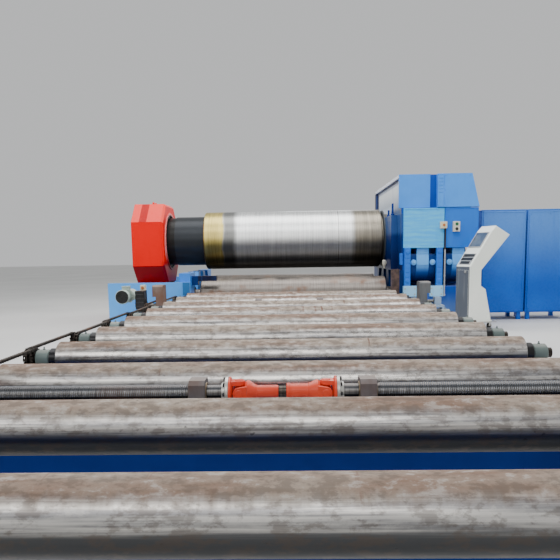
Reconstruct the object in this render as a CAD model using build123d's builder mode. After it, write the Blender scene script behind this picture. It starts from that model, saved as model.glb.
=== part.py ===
from build123d import *
from math import cos, radians, sin
import os

os.makedirs("parts", exist_ok=True)

# Four-roll plate rolling machine with its roller infeed table, control console and cabinets.
# Millimetres. X runs along the roll axes, Y along the feed from the table to the machine, Z up.
# The origin is on the floor, on the middle line of the table, straight below the upper roll's axis.

# Rolls
roll_length = 3020
machine_offset = 32
upper_roll_diameter = 985
upper_axis_height = 1375
lower_roll_diameter = 660
lower_axis_height = 378
side_roll_diameter = 560
side_axis_height = 465
side_axis_offset = 720
side_lift_lean = 25
journal_diameter = 210
roll_shoulder_diameter = 300
roll_shoulder_length = 25
roll_edge_chamfer = 12

# Upper roll neck and tapered journal on the drop end
neck_diameter = 840
neck_length = 652
neck_groove_depth = 12
neck_groove_width = 150
collar_diameter = 870
collar_length = 150
seat_diameter = 660
seat_length = 140
seat_taper = 0.26
stub_length = 120
stub_taper = 0.35
drive_neck_length = 420
bearing_clearance = 0.3
pin_clearance = 0.1

# Tilting yoke of the drop end
yoke_thickness = 530
yoke_drop = 50
yoke_half_height = 680
yoke_half_width = 650
yoke_corner = 315
yoke_edge_chamfer = 35
yoke_rim_depth = 10
yoke_rim_diameter = 990
yoke_pocket_diameter = 920
yoke_bush_wall = 60
yoke_back_wall = 80
yoke_neck_overlap = 20
yoke_lug_thickness = 160
yoke_lug_spacing = 700
yoke_lug_overlap = 5
yoke_pivot_height = 450
yoke_pin_diameter = 140
yoke_eye_diameter = 300
yoke_lug_root = 55
lifting_eye_size = 56
lifting_eye_offset = 90
lifting_eye_thickness = 24
lifting_eye_bore = 26
bracket_thickness = 90
bracket_gap = 6

# End frames of the machine
frame_gap = 115
guide_thickness = 180
guide_height = 850
guide_floor_height = 110
guide_gap = 5
bearing_block_size = 300
bearing_block_inset = 10
bearing_cap_diameter = 250
bearing_cap_thickness = 8
frame_half_depth = 1320
left_frame_length = 1287
left_plate_thickness = 100
left_plate_height = 712
left_rib_width = 103
left_rib_depth = 16
left_rib_height = 190
bed_plate_thickness = 35
bed_beam_height = 110
bed_beam_width = 240
bed_anchor_inset = 120
anchor_hole_diameter = 42
rest_bar_length = 400
rest_bar_height = 80
rest_bar_depth = 110
rest_bar_top = 800
rest_bar_setback = 215
rest_bar_root_length = 105
rest_bar_root_height = 145
front_post_width = 125
front_post_inset = 108
front_post_depth = 45
front_post_bottom = 450
front_post_top = 870

# Fixed housing on the drive side
housing_width = 1223
housing_top = 2300
housing_rear = 1400
housing_base_height = 600
housing_step = 700
housing_slope = 120
housing_wall_inset = 45
housing_lip_depth = 35
housing_lip_width = 45
neck_pad_half_width = 1000
neck_pad_reach = 102
neck_pad_top = 1715
cover_split_height = 1800
panel_bottom = 1190
panel_thickness = 30
cover_depth = 60
right_cover_reach = 40
recess_width = 104
left_cover_width = 480
lower_panel_inset = 76
lower_panel_width = 620
seam_gap = 8
edge_chamfer = 10

# Swing castings with their straps, below the front panels
casting_diameter = 640
casting_width = 400
casting_neck_width = 195
casting_neck_shift = 25
casting_axis_height = 970
casting_neck_base = 1100
casting_spacing = 550
casting_setback = 20
casting_gap = 5
boss_diameter = 90
boss_offset = 146
boss_reach = 40
boss_root = 60
strap_width = 92
strap_thickness = 70
first_strap_distance = 136
strap_spacing = 490
strap_foot_width = 205
strap_foot_height = 165
strap_foot_shift = 41
strap_bottom = 445

# Roller table
roller_count = 10
roller_pitch = 850
table_roller_length = 3200
roller_diameter = 230
roller_top_height = 557
roller_edge_chamfer = 6
roller_shaft_diameter = 70
roller_ring_diameter = 140
roller_ring_length = 60
bearing_diameter = 124
bearing_width = 98
bearing_gap = 4
bearing_foot_length = 280
bearing_foot_height = 26
bearing_web_length = 150
bearing_web_angle = 80
bearing_centre_height = 92
shaft_stub = 34
table_gap = 30
side_beam_height = 200
side_beam_width = 100
beam_flange = 14
beam_web = 12
leg_width = 120
leg_spacing = 3
foot_plate_length = 300
foot_plate_width = 150
foot_plate_thickness = 16
foot_hole_diameter = 24
foot_hole_inset = 35
cross_beam_height = 190
cross_beam_width = 120
cross_beam_bottom = 100
table_end = 260
table_front_gap = 60

# Chain drive of the table, on the left
sprocket_teeth = 14
sprocket_pitch_radius = 66
wide_sprocket_radius = 88
tooth_height = 8
tooth_root_share = 0.34
tooth_tip_share = 0.14
sprocket_width = 16
sprocket_row_spacing = 42
sprocket_gap = 10
hub_diameter = 96
chain_plate_width = 22
chain_plate_thickness = 4
chain_gap = 2

# Plate centring screws
screw_diameter = 82
screw_axis_height = 487
screw_offset = -23
screw_thread_end = 1775
screw_end_diameter = 44
screw_end = 1960
screw_shaft_diameter = 70
screw_block_width = 78
screw_block_size = 130
screw_block_corner = 20
screw_block_spacing = 815
screw_block_foot = 220
screw_block_foot_height = 22
screw_block_gap = 10
pusher_width = 140
pusher_length = 210
pusher_foot_width = 98
pusher_bottom = 380
pusher_step = 600
pusher_top = 750
pusher_centre = 1747
pusher_bore_gap = 0.5

# Pedestals and gearmotors at the outer ends of the screws
pedestal_width = 150
pedestal_length = 200
pedestal_wall = 28
pedestal_top = 440
pedestal_overhang = 40
end_bearing_size = 110
end_bearing_width = 85
gearbox_width = 292
gearbox_length = 210
gearbox_bottom = 395
gearbox_top = 700
motor_diameter = 170
motor_axis_height = 625
motor_length = 250
fan_cover_diameter = 190
fan_cover_length = 70
terminal_box_size = 90
terminal_box_length = 100
terminal_box_setback = 50

# Cardan shaft between the near screws
cardan_flange_diameter = 150
cardan_flange_thickness = 16
cardan_joint_spacing = 418
cardan_fork_length = 50
cardan_ear_width = 58
cardan_ear_thickness = 20
cardan_ear_gap = 74
cardan_hub_diameter = 112
cardan_tube_diameter = 96
cardan_sleeve_diameter = 118
cardan_spline_diameter = 74
cardan_collar_diameter = 128
cardan_collar_length = 18
cardan_spline_length = 36
cardan_cross_diameter = 40
cardan_cap_height = 6

# Cabinets
cabinet_distance = 213
cabinet_setback = 520
cabinet_width = 708
cabinet_depth = 600
cabinet_height = 1776
cabinet_leg_height = 120
cabinet_leg_width = 60
cabinet_gap = 30
cabinet_door_inset = 18
cabinet_door_thickness = 12

# Console
console_width = 340
console_turn = 20
console_across = 903
console_ahead = 720
console_base = 110
console_depth = 390
console_front_height = 910
console_slope_run = 356
console_slope_rise = 510
console_foot_lean = 110
console_foot_rise = 470
console_column_width = 200
console_column_start = 630
console_column_end = 860
console_head_depth = 475
console_head_rise = 500
console_cap_width = 245
console_cap_rise = 130
console_plate_depth = 520
console_plate_thickness = 14
console_plate_margin = 30
caster_diameter = 80
caster_width = 28
caster_inset = 60
display_margin = 35
display_length = 250
display_raise = 10
keyboard_length = 190

# Push-button boxes on the panels and beside the table
button_box_width = 105
button_box_height = 105
button_box_depth = 70
pair_box_width = 105
pair_box_height = 155
stop_box_drop = 217
stop_box_across = 625
pair_box_across = 820
pipe_diameter = 28
pipe_inset = 25
stand_box_size = 75
stand_height = 670
stand_reach = 47

# Worked out from the sizes above
roll_left = machine_offset - roll_length / 2
roll_right = machine_offset + roll_length / 2
barrel_end = table_roller_length / 2
roller_axis_height = roller_top_height - roller_diameter / 2
beam_top = roller_axis_height - bearing_centre_height
beam_bottom = beam_top - side_beam_height
ring_end = barrel_end + roller_ring_length
bearing_start = ring_end + bearing_gap
bearing_end = bearing_start + bearing_width
first_row = bearing_end + sprocket_gap + sprocket_width / 2
second_row = first_row + sprocket_row_spacing
sprocket_stack_end = second_row + sprocket_width / 2
last_roller_distance = frame_half_depth + table_gap + bearing_foot_length / 2
roller_places = [-(last_roller_distance + i * roller_pitch) for i in range(roller_count)]
far_gap = 1
near_gap = roller_count - 3
far_screw_y = (roller_places[far_gap] + roller_places[far_gap + 1]) / 2
near_screw_y = (roller_places[near_gap] + roller_places[near_gap + 1]) / 2
guide_left = roll_left - frame_gap
guide_right = roll_right + frame_gap
guide_outer_left = guide_left - guide_thickness
guide_outer_right = guide_right + guide_thickness
journal_length = frame_gap + guide_thickness - guide_gap
yoke_pivot_x = roll_left - neck_length + yoke_neck_overlap
yoke_face = yoke_pivot_x - yoke_rim_depth
yoke_back = yoke_face - yoke_thickness
housing_end = guide_right + housing_width
case_end = housing_end - housing_slope
housing_step_y = -frame_half_depth + housing_step


def box_between(low, high, mode=Mode.ADD):
    """A block given by two opposite corners."""
    size = [high[i] - low[i] for i in range(3)]
    centre = [(high[i] + low[i]) / 2 for i in range(3)]
    with Locations(tuple(centre)):
        Box(*size, mode=mode)


def rod_along_x(diameter, start, end, y, z, mode=Mode.ADD):
    """A round bar parallel to the roll axes, or its hole."""
    with BuildSketch(Plane.YZ.offset(min(start, end))) as section:
        with Locations((y, z)):
            Circle(diameter / 2)
    extrude(section.sketch, amount=abs(end - start), mode=mode)


def rod_along_y(diameter, start, end, x, z, mode=Mode.ADD):
    """A round bar along the feed direction, or its hole."""
    with BuildSketch(Plane.XZ.offset(-min(start, end))) as section:
        with Locations((x, z)):
            Circle(diameter / 2)
    extrude(section.sketch, amount=-abs(end - start), mode=mode)


def rod_along_z(diameter, start, end, x, y, mode=Mode.ADD):
    """An upright round bar, or its hole."""
    with BuildSketch(Plane.XY.offset(min(start, end))) as section:
        with Locations((x, y)):
            Circle(diameter / 2)
    extrude(section.sketch, amount=abs(end - start), mode=mode)


def save(piece, name):
    """Label a finished piece and write it."""
    piece.part.label = name
    export_step(piece.part, f"parts/{name}.step")


# Upper roll: barrel, neck with a groove, collar and tapered journal on the left, drive neck on the right
collar_start = roll_left - neck_length
seat_start = collar_start - collar_length
seat_end = seat_start - seat_length
stub_end = seat_end - stub_length
seat_end_radius = seat_diameter / 2 - seat_taper * seat_length
stub_end_radius = seat_end_radius - stub_taper * stub_length
neck_radius = neck_diameter / 2
barrel_radius = upper_roll_diameter / 2
drive_end = roll_right + drive_neck_length

with BuildPart() as upper_roll:
    with BuildSketch(Plane.XZ):
        with BuildLine():
            Polyline(
                (stub_end, 0),
                (stub_end, stub_end_radius),
                (seat_end, seat_end_radius),
                (seat_start, seat_diameter / 2),
                (seat_start, collar_diameter / 2),
                (collar_start, collar_diameter / 2),
                (collar_start, neck_radius - neck_groove_depth),
                (collar_start + neck_groove_width, neck_radius - neck_groove_depth),
                (collar_start + neck_groove_width, neck_radius),
                (roll_left, neck_radius),
                (roll_left, barrel_radius - roll_edge_chamfer),
                (roll_left + roll_edge_chamfer, barrel_radius),
                (roll_right - roll_edge_chamfer, barrel_radius),
                (roll_right, barrel_radius - roll_edge_chamfer),
                (roll_right, neck_radius),
                (drive_end, neck_radius),
                (drive_end, 0),
                close=True,
            )
        make_face()
    revolve(axis=Axis.X)
upper_roll.part = Pos(0, 0, upper_axis_height) * upper_roll.part
save(upper_roll, "upper_roll")

# Tilting yoke: an eight-sided block with a raised rim, a blind pocket, two pivot lugs and lifting eyes
blind_end = yoke_back + yoke_back_wall
bush_outer_radius = seat_diameter / 2 + yoke_bush_wall
yoke_middle_height = upper_axis_height - yoke_drop
yoke_bottom = yoke_middle_height - yoke_half_height
yoke_top = yoke_middle_height + yoke_half_height
lug_tip = yoke_pivot_x - yoke_eye_diameter / 2
with BuildPart() as tilting_yoke:
    with BuildSketch(Plane.YZ.offset(yoke_back)):
        with Locations((0, yoke_middle_height)):
            Rectangle(2 * yoke_half_width, 2 * yoke_half_height)
        chamfer(vertices(), length=yoke_corner)
    extrude(amount=yoke_thickness)
    chamfer(faces().sort_by(Axis.X)[-1].edges(), length=yoke_edge_chamfer)
    rod_along_x(yoke_rim_diameter, yoke_face - yoke_lug_overlap, yoke_pivot_x, 0, upper_axis_height)
    for side in (-1, 1):
        with BuildSketch(Plane.XZ.offset(-side * yoke_lug_spacing / 2)):
            with BuildLine():
                Polyline(
                    (yoke_back + yoke_lug_root, yoke_bottom + yoke_lug_overlap),
                    (yoke_back + yoke_lug_root, yoke_bottom - yoke_lug_root),
                    (lug_tip, yoke_pivot_height - yoke_lug_root),
                    (yoke_pivot_x, yoke_pivot_height),
                    (yoke_face - yoke_lug_root, yoke_bottom + yoke_lug_overlap),
                    close=True,
                )
            make_face()
            with Locations((yoke_pivot_x, yoke_pivot_height)):
                Circle(yoke_eye_diameter / 2)
                Circle(yoke_pin_diameter / 2 + pin_clearance, mode=Mode.SUBTRACT)
        extrude(amount=yoke_lug_thickness / 2, both=True)
    yoke_middle_x = yoke_back + yoke_thickness / 2
    for side in (-1, 1):
        with BuildSketch(Plane.YZ.offset(yoke_middle_x)):
            with Locations((side * lifting_eye_offset, yoke_top)):
                SlotOverall(2 * lifting_eye_size, lifting_eye_size, rotation=90)
            with Locations((side * lifting_eye_offset, yoke_top + lifting_eye_size / 2)):
                Circle(lifting_eye_bore / 2, mode=Mode.SUBTRACT)
        extrude(amount=lifting_eye_thickness / 2, both=True)
    rod_along_x(yoke_pocket_diameter, seat_start, yoke_pivot_x, 0, upper_axis_height, Mode.SUBTRACT)
    rod_along_x(2 * bush_outer_radius, blind_end, seat_start, 0, upper_axis_height, Mode.SUBTRACT)
save(tilting_yoke, "tilting_yoke")

# Tapered bearing bush, pressed in the yoke and matching the journal's seat
with BuildPart() as yoke_bush:
    with BuildSketch(Plane.XZ):
        with BuildLine():
            Polyline(
                (seat_start, seat_diameter / 2 + bearing_clearance),
                (seat_start, bush_outer_radius),
                (seat_end, bush_outer_radius),
                (seat_end, seat_end_radius + bearing_clearance),
                close=True,
            )
        make_face()
    revolve(axis=Axis.X)
yoke_bush.part = Pos(0, 0, upper_axis_height) * yoke_bush.part
save(yoke_bush, "yoke_bush")


# Lower roll and the two side rolls
def plain_roll(diameter, y, z):
    """A roll with shoulders and journals on both ends, its axis along X at the given place."""
    with BuildPart() as roll:
        rod_along_x(diameter, roll_left, roll_right, y, z)
        chamfer(edges().filter_by(GeomType.CIRCLE), length=roll_edge_chamfer)
        shoulder_left = roll_left - roll_shoulder_length
        shoulder_right = roll_right + roll_shoulder_length
        rod_along_x(roll_shoulder_diameter, shoulder_left, shoulder_right, y, z)
        rod_along_x(journal_diameter, roll_left - journal_length, roll_right + journal_length, y, z)
    return roll


lower_roll = plain_roll(lower_roll_diameter, 0, lower_axis_height)
save(lower_roll, "lower_roll")
front_side_roll = plain_roll(side_roll_diameter, -side_axis_offset, side_axis_height)
save(front_side_roll, "front_side_roll")
rear_side_roll = plain_roll(side_roll_diameter, side_axis_offset, side_axis_height)
save(rear_side_roll, "rear_side_roll")


# Bearing blocks of the low rolls, turned to the direction in which each roll lifts
def bearing_blocks(y, z, lean):
    """Two square blocks with round caps, one on each journal of a roll."""
    block_width = guide_thickness - 2 * bearing_block_inset
    bore = journal_diameter + 2 * pin_clearance
    with BuildPart() as blocks:
        for side, guide_face in ((-1, guide_left), (1, guide_right)):
            inner_face = guide_face + side * bearing_block_inset
            outer_face = inner_face + side * block_width
            cap_end = inner_face - side * bearing_cap_thickness
            with BuildSketch(Plane.YZ.offset(min(inner_face, outer_face))):
                with Locations((y, z)):
                    Rectangle(bearing_block_size, bearing_block_size, rotation=lean)
            extrude(amount=block_width)
            rod_along_x(bearing_cap_diameter, inner_face, cap_end, y, z)
            rod_along_x(bore, cap_end, outer_face, y, z, Mode.SUBTRACT)
    return blocks


front_roll_carriers = bearing_blocks(-side_axis_offset, side_axis_height, -side_lift_lean)
save(front_roll_carriers, "front_roll_carriers")
with BuildPart() as roll_bearing_blocks:
    add(bearing_blocks(0, lower_axis_height, 0).part)
    add(bearing_blocks(side_axis_offset, side_axis_height, side_lift_lean).part)
save(roll_bearing_blocks, "roll_bearing_blocks")

# Bed: a floor plate under the low rolls, with a beam along its front and rear edges and anchor holes
bed_width = guide_right - guide_left
bed_middle = (guide_left + guide_right) / 2
bed_anchor_spacing = bed_width - 2 * bed_anchor_inset
bed_anchor_y = frame_half_depth - bed_beam_width / 2
with BuildPart() as machine_bed:
    box_between((guide_left, -frame_half_depth, 0), (guide_right, frame_half_depth, bed_plate_thickness))
    for side in (-1, 1):
        with Locations((bed_middle, side * bed_anchor_y, bed_beam_height / 2)):
            Box(bed_width, bed_beam_width, bed_beam_height)
    with Locations((bed_middle, 0, bed_beam_height)):
        with GridLocations(bed_anchor_spacing, 2 * bed_anchor_y, 2, 2):
            Hole(anchor_hole_diameter / 2, depth=bed_beam_height)
save(machine_bed, "machine_bed")

# Drop end frame: front and rear plates, a rib on the front, and brackets with pins for the yoke's lugs
frame_outer_x = guide_left - left_frame_length
with BuildPart() as drop_end_frame:
    for side in (-1, 1):
        middle_y = side * (frame_half_depth - left_plate_thickness / 2)
        with Locations(((frame_outer_x + guide_left) / 2, middle_y, left_plate_height / 2)):
            Box(left_frame_length, left_plate_thickness, left_plate_height)
    rib_bottom = left_plate_height - left_rib_height
    box_between((guide_left - left_rib_width, -frame_half_depth - left_rib_depth, rib_bottom),
                (guide_left, -frame_half_depth, left_plate_height))
    for side in (-1, 1):
        middle_y = side * yoke_lug_spacing / 2
        for face in (-1, 1):
            offset = face * (yoke_lug_thickness / 2 + bracket_gap + bracket_thickness / 2)
            with BuildSketch(Plane.XZ.offset(-(middle_y + offset))):
                with BuildLine():
                    Polyline(
                        (guide_outer_left, guide_floor_height),
                        (guide_outer_left, yoke_pivot_height + yoke_eye_diameter / 2),
                        (yoke_pivot_x, yoke_pivot_height + yoke_eye_diameter / 2),
                        (yoke_pivot_x, yoke_pivot_height - yoke_eye_diameter / 2),
                        close=True,
                    )
                make_face()
                with Locations((yoke_pivot_x, yoke_pivot_height)):
                    Circle(yoke_eye_diameter / 2)
            extrude(amount=bracket_thickness / 2, both=True)
        pin_reach = yoke_lug_thickness / 2 + bracket_gap + bracket_thickness
        rod_along_y(yoke_pin_diameter, middle_y - pin_reach, middle_y + pin_reach,
                    yoke_pivot_x, yoke_pivot_height)
save(drop_end_frame, "drop_end_frame")

# Roll guides: a slotted wall at each end for the bearing blocks, a left rest bar and a right post
def roll_guide(start, front, rear):
    """One guide wall with a straight slot in the middle and a leaning slot on each side."""
    slot_width = bearing_block_size + 2 * guide_gap
    slot_bottom = guide_floor_height - side_axis_height
    slot_top = 2 * guide_height
    with BuildPart() as guide:
        with BuildSketch(Plane.YZ.offset(start)):
            with Locations(((front + rear) / 2, guide_height / 2)):
                Rectangle(rear - front, guide_height)
            with Locations((0, guide_height)):
                Rectangle(slot_width, 2 * (guide_height - guide_floor_height), mode=Mode.SUBTRACT)
            for side in (-1, 1):
                with Locations(Location((side * side_axis_offset, side_axis_height), side * side_lift_lean)):
                    with Locations((0, (slot_bottom + slot_top) / 2)):
                        Rectangle(slot_width, slot_top - slot_bottom, mode=Mode.SUBTRACT)
        extrude(amount=guide_thickness)
    return guide


plate_inner_face = frame_half_depth - left_plate_thickness
rest_bar_y = -frame_half_depth + rest_bar_setback
with BuildPart() as roll_guides:
    add(roll_guide(guide_outer_left, -plate_inner_face, plate_inner_face).part)
    add(roll_guide(guide_right, -frame_half_depth, housing_rear).part)
    box_between((guide_left, rest_bar_y, rest_bar_top - rest_bar_height),
                (guide_left + rest_bar_length, rest_bar_y + rest_bar_depth, rest_bar_top))
    box_between((guide_left, rest_bar_y, rest_bar_top - rest_bar_root_height),
                (guide_left + rest_bar_root_length, rest_bar_y + rest_bar_depth, rest_bar_top))
    post_left = guide_right - front_post_inset
    box_between((post_left, -frame_half_depth - front_post_depth, front_post_bottom),
                (post_left + front_post_width, -frame_half_depth, front_post_top))
save(roll_guides, "roll_guides")

# Base of the drive side, on the floor behind the strap feet
with BuildPart() as drive_side_base:
    box_between((guide_outer_right, -frame_half_depth, 0), (housing_end, housing_rear, housing_base_height))
    base_edges = edges().filter_by(Axis.X).group_by(Axis.Z)[-1]
    chamfer(base_edges, length=edge_chamfer)
save(drive_side_base, "drive_side_base")

# Fixed housing: the wall over the guide with a raised lip, a pad round the drive neck, and the gear case
wall_face = guide_right + housing_wall_inset
lip_face = wall_face - housing_lip_depth
pad_face = wall_face - neck_pad_reach
cover_back = -frame_half_depth + cover_depth
with BuildPart() as fixed_housing:
    box_between((wall_face, cover_back, guide_height), (guide_outer_right, housing_rear, housing_top))
    box_between((wall_face, -frame_half_depth, guide_height),
                (guide_outer_right, cover_back, cover_split_height))
    box_between((guide_outer_right, housing_step_y, housing_base_height),
                (case_end, housing_rear, housing_top))
    box_between((guide_outer_right, -frame_half_depth, panel_bottom),
                (case_end, housing_step_y, cover_split_height))
    box_between((guide_outer_right, cover_back, cover_split_height), (case_end, housing_step_y, housing_top))
    box_between((lip_face, cover_back, housing_top - housing_lip_width),
                (wall_face, housing_rear, housing_top))
    box_between((lip_face, housing_rear - housing_lip_width, guide_height),
                (wall_face, housing_rear, housing_top))
    box_between((pad_face, -neck_pad_half_width, guide_height),
                (wall_face, neck_pad_half_width, neck_pad_top))
    neck_bore = neck_diameter + 2 * pin_clearance
    rod_along_x(neck_bore, pad_face, drive_end, 0, upper_axis_height, Mode.SUBTRACT)
save(fixed_housing, "fixed_housing")

# Covers of the housing's front: two upper boxes beside a recess, and two flat panels under them
left_cover_end = guide_right + left_cover_width
right_cover_start = left_cover_end + recess_width
left_panel_start = guide_right + lower_panel_inset
left_panel_end = left_panel_start + lower_panel_width
with BuildPart() as housing_covers:
    box_between((lip_face, -frame_half_depth, cover_split_height), (left_cover_end, cover_back, housing_top))
    with BuildSketch(Plane.XZ.offset(-cover_back)):
        with BuildLine():
            Polyline(
                (right_cover_start, cover_split_height),
                (housing_end, cover_split_height),
                (case_end, housing_top),
                (right_cover_start, housing_top),
                close=True,
            )
        make_face()
    extrude(amount=cover_depth + right_cover_reach)
    box_between((left_panel_start, -frame_half_depth - panel_thickness, panel_bottom),
                (left_panel_end, -frame_half_depth, cover_split_height - seam_gap))
    box_between((left_panel_end + seam_gap, -frame_half_depth - panel_thickness, panel_bottom),
                (housing_end - seam_gap, -frame_half_depth, cover_split_height - seam_gap))
save(housing_covers, "housing_covers")

# Swing castings: a round body with a narrower neck up to the panels, and round bosses on the front
first_casting = guide_outer_right + casting_gap + casting_width / 2
casting_centres = [first_casting, first_casting + casting_spacing]
casting_y = -frame_half_depth + casting_diameter / 2 + casting_setback


def casting_slice(centre, width, top):
    """A slice of the casting's drum, cut level at the given height."""
    with BuildPart() as drum:
        rod_along_x(casting_diameter, centre - width / 2, centre + width / 2, casting_y, casting_axis_height)
        split(bisect_by=Plane.XY.offset(top), keep=Keep.BOTTOM)
    return drum.part


with BuildPart() as swing_castings:
    for centre in casting_centres:
        add(casting_slice(centre, casting_width, casting_neck_base))
        add(casting_slice(centre + casting_neck_shift, casting_neck_width, panel_bottom))
        for side in (-1, 1):
            boss_x = centre + side * boss_offset
            boss_front = -frame_half_depth + casting_setback - boss_reach
            boss_back = boss_front + boss_reach + boss_root
            rod_along_y(boss_diameter, boss_front, boss_back, boss_x, casting_axis_height)
save(swing_castings, "swing_castings")

# Straps in front of the castings, each with a foot block against the base
first_strap = guide_right + first_strap_distance
strap_places = [first_strap, first_strap + strap_spacing]
strap_front = -frame_half_depth - strap_thickness
foot_shifts = [strap_foot_shift, -strap_foot_shift]
with BuildPart() as clevis_straps:
    for centre, shift in zip(strap_places, foot_shifts):
        box_between((centre - strap_width / 2, strap_front, strap_bottom),
                    (centre + strap_width / 2, -frame_half_depth, panel_bottom))
        foot_start = centre + shift - strap_foot_width / 2
        box_between((foot_start, strap_front, strap_bottom),
                    (foot_start + strap_foot_width, -frame_half_depth, strap_bottom + strap_foot_height))
save(clevis_straps, "clevis_straps")

# Roller table: channel side beams, open outwards, on legs with foot plates
table_front = roller_places[-1] - table_end
table_rear = roller_places[0] + table_front_gap
beam_inner = bearing_start - bearing_gap
beam_outer = beam_inner + side_beam_width
leg_places = roller_places[::leg_spacing]
foot_middle = (beam_inner + beam_outer) / 2
foot_hole_spacing = foot_plate_length - 2 * foot_hole_inset
with BuildPart() as table_side_beams:
    for side in (-1, 1):
        with BuildSketch(Plane.XZ.offset(-table_front)):
            with Locations((side * foot_middle, (beam_top + beam_bottom) / 2)):
                Rectangle(side_beam_width, side_beam_height)
            with Locations((side * (foot_middle + beam_web / 2), (beam_top + beam_bottom) / 2)):
                Rectangle(side_beam_width - beam_web, side_beam_height - 2 * beam_flange, mode=Mode.SUBTRACT)
        extrude(amount=-(table_rear - table_front))
        for y in leg_places:
            leg_height = beam_bottom - foot_plate_thickness
            with Locations((side * foot_middle, y, foot_plate_thickness + leg_height / 2)):
                Box(side_beam_width, leg_width, leg_height)
            with Locations((side * foot_middle, y, foot_plate_thickness / 2)):
                Box(foot_plate_width, foot_plate_length, foot_plate_thickness)
            with Locations((side * foot_middle, y, foot_plate_thickness)):
                with GridLocations(0, foot_hole_spacing, 1, 2):
                    Hole(foot_hole_diameter / 2, depth=foot_plate_thickness)
save(table_side_beams, "table_side_beams")

# Cross beams between the side beams, low between the rollers
with BuildPart() as table_cross_beams:
    for front, back in zip(roller_places, roller_places[1:]):
        with Locations((0, (front + back) / 2, cross_beam_bottom + cross_beam_height / 2)):
            Box(2 * beam_inner, cross_beam_width, cross_beam_height)
save(table_cross_beams, "table_cross_beams")

# Pillow block bearings on the side beams: a round housing on a web and a foot
with BuildPart() as roller_bearings:
    for side in (-1, 1):
        for y in roller_places:
            with BuildSketch(Plane.YZ.offset(min(side * bearing_start, side * bearing_end))):
                with Locations((y, beam_top + bearing_foot_height / 2)):
                    Rectangle(bearing_foot_length, bearing_foot_height)
                with Locations((y, (beam_top + roller_axis_height) / 2)):
                    Trapezoid(bearing_web_length, bearing_centre_height, bearing_web_angle)
                with Locations((y, roller_axis_height)):
                    Circle(bearing_diameter / 2)
                    Circle(roller_shaft_diameter / 2 + pin_clearance, mode=Mode.SUBTRACT)
            extrude(amount=bearing_width)
save(roller_bearings, "roller_bearings")


# Table rollers with end rings, shafts and two rows of sprockets on the left
def loop_row(index):
    """Distance of the chain loop's row from the middle, changing from loop to loop."""
    return first_row if index % 2 == 0 else second_row


def loop_radius(index):
    """Pitch radius of a chain loop: wider where a screw passes between its strands."""
    return wide_sprocket_radius if index in (far_gap, near_gap) else sprocket_pitch_radius


def tooth_points(pitch_radius):
    """Corners of a sprocket outline with flat-topped teeth, as many as fit the chain's pitch."""
    teeth = round(sprocket_teeth * pitch_radius / sprocket_pitch_radius)
    tip = pitch_radius + tooth_height
    root = pitch_radius - tooth_height
    rising = [(-tooth_root_share, root), (-tooth_tip_share, tip)]
    falling = [(tooth_tip_share, tip), (tooth_root_share, root)]
    corners = []
    for tooth in range(teeth):
        for share, radius in rising + falling:
            angle = radians(360 / teeth * (tooth + share))
            corners.append((radius * cos(angle), radius * sin(angle)))
    return corners


def make_roller(index):
    """One roller, from the end of its sprocket stack to the shaft end on the right."""
    y = roller_places[index]
    z = roller_axis_height
    with BuildPart() as roller:
        rod_along_x(roller_diameter, -barrel_end, barrel_end, y, z)
        chamfer(edges().filter_by(GeomType.CIRCLE), length=roller_edge_chamfer)
        rod_along_x(roller_ring_diameter, -ring_end, ring_end, y, z)
        rod_along_x(roller_shaft_diameter, -sprocket_stack_end, bearing_end + shaft_stub, y, z)
        rod_along_x(hub_diameter, -bearing_end - bearing_gap, -sprocket_stack_end, y, z)
        for loop in (index - 1, index):
            if 0 <= loop < roller_count - 1:
                with BuildSketch(Plane.YZ.offset(-loop_row(loop) - sprocket_width / 2)) as teeth:
                    with Locations((y, z)):
                        Polygon(*tooth_points(loop_radius(loop)), align=None)
                extrude(teeth.sketch, amount=sprocket_width)
    return roller


for index in range(roller_count):
    save(make_roller(index), f"table_roller_{index + 1}")

# Chain loops from roller to roller, each a pair of side plates round two sprockets
with BuildPart() as drive_chain:
    for index in range(roller_count - 1):
        middle_y = (roller_places[index] + roller_places[index + 1]) / 2
        outer_radius = loop_radius(index) + chain_plate_width / 2
        inner_radius = loop_radius(index) - chain_plate_width / 2
        plate_offset = sprocket_width / 2 + chain_gap + chain_plate_thickness / 2
        for side in (-1, 1):
            plate_middle = -loop_row(index) + side * plate_offset
            with BuildSketch(Plane.YZ.offset(plate_middle)):
                with Locations((middle_y, roller_axis_height)):
                    SlotCenterToCenter(roller_pitch, outer_radius * 2)
                    SlotCenterToCenter(roller_pitch, inner_radius * 2, mode=Mode.SUBTRACT)
            extrude(amount=chain_plate_thickness / 2, both=True)
save(drive_chain, "drive_chain")

# Centring screws: threaded bars on both sides, with plain shafts and inner bearing blocks between them
block_reach = screw_block_spacing / 2
thread_start = block_reach + screw_block_width / 2 + screw_block_gap
flange_reach = cardan_joint_spacing / 2 + cardan_fork_length


def screw_side(side, y, inner_reach):
    """The bar of one side: plain shaft through the inner block, thread, and turned-down end."""
    inner = screw_offset + side * inner_reach
    start = screw_offset + side * thread_start
    rod_along_x(screw_shaft_diameter, inner, start, y, screw_axis_height)
    rod_along_x(screw_diameter, start, side * screw_thread_end, y, screw_axis_height)
    rod_along_x(screw_end_diameter, side * screw_thread_end, side * screw_end, y, screw_axis_height)


with BuildPart() as near_screws:
    for side in (-1, 1):
        screw_side(side, near_screw_y, flange_reach)
        flange_inner = screw_offset + side * flange_reach
        flange_outer = flange_inner + side * cardan_flange_thickness
        rod_along_x(cardan_flange_diameter, flange_inner, flange_outer, near_screw_y, screw_axis_height)
save(near_screws, "near_screws")

with BuildPart() as far_screws:
    for side in (-1, 1):
        screw_side(side, far_screw_y, 0)
save(far_screws, "far_screws")


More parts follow.
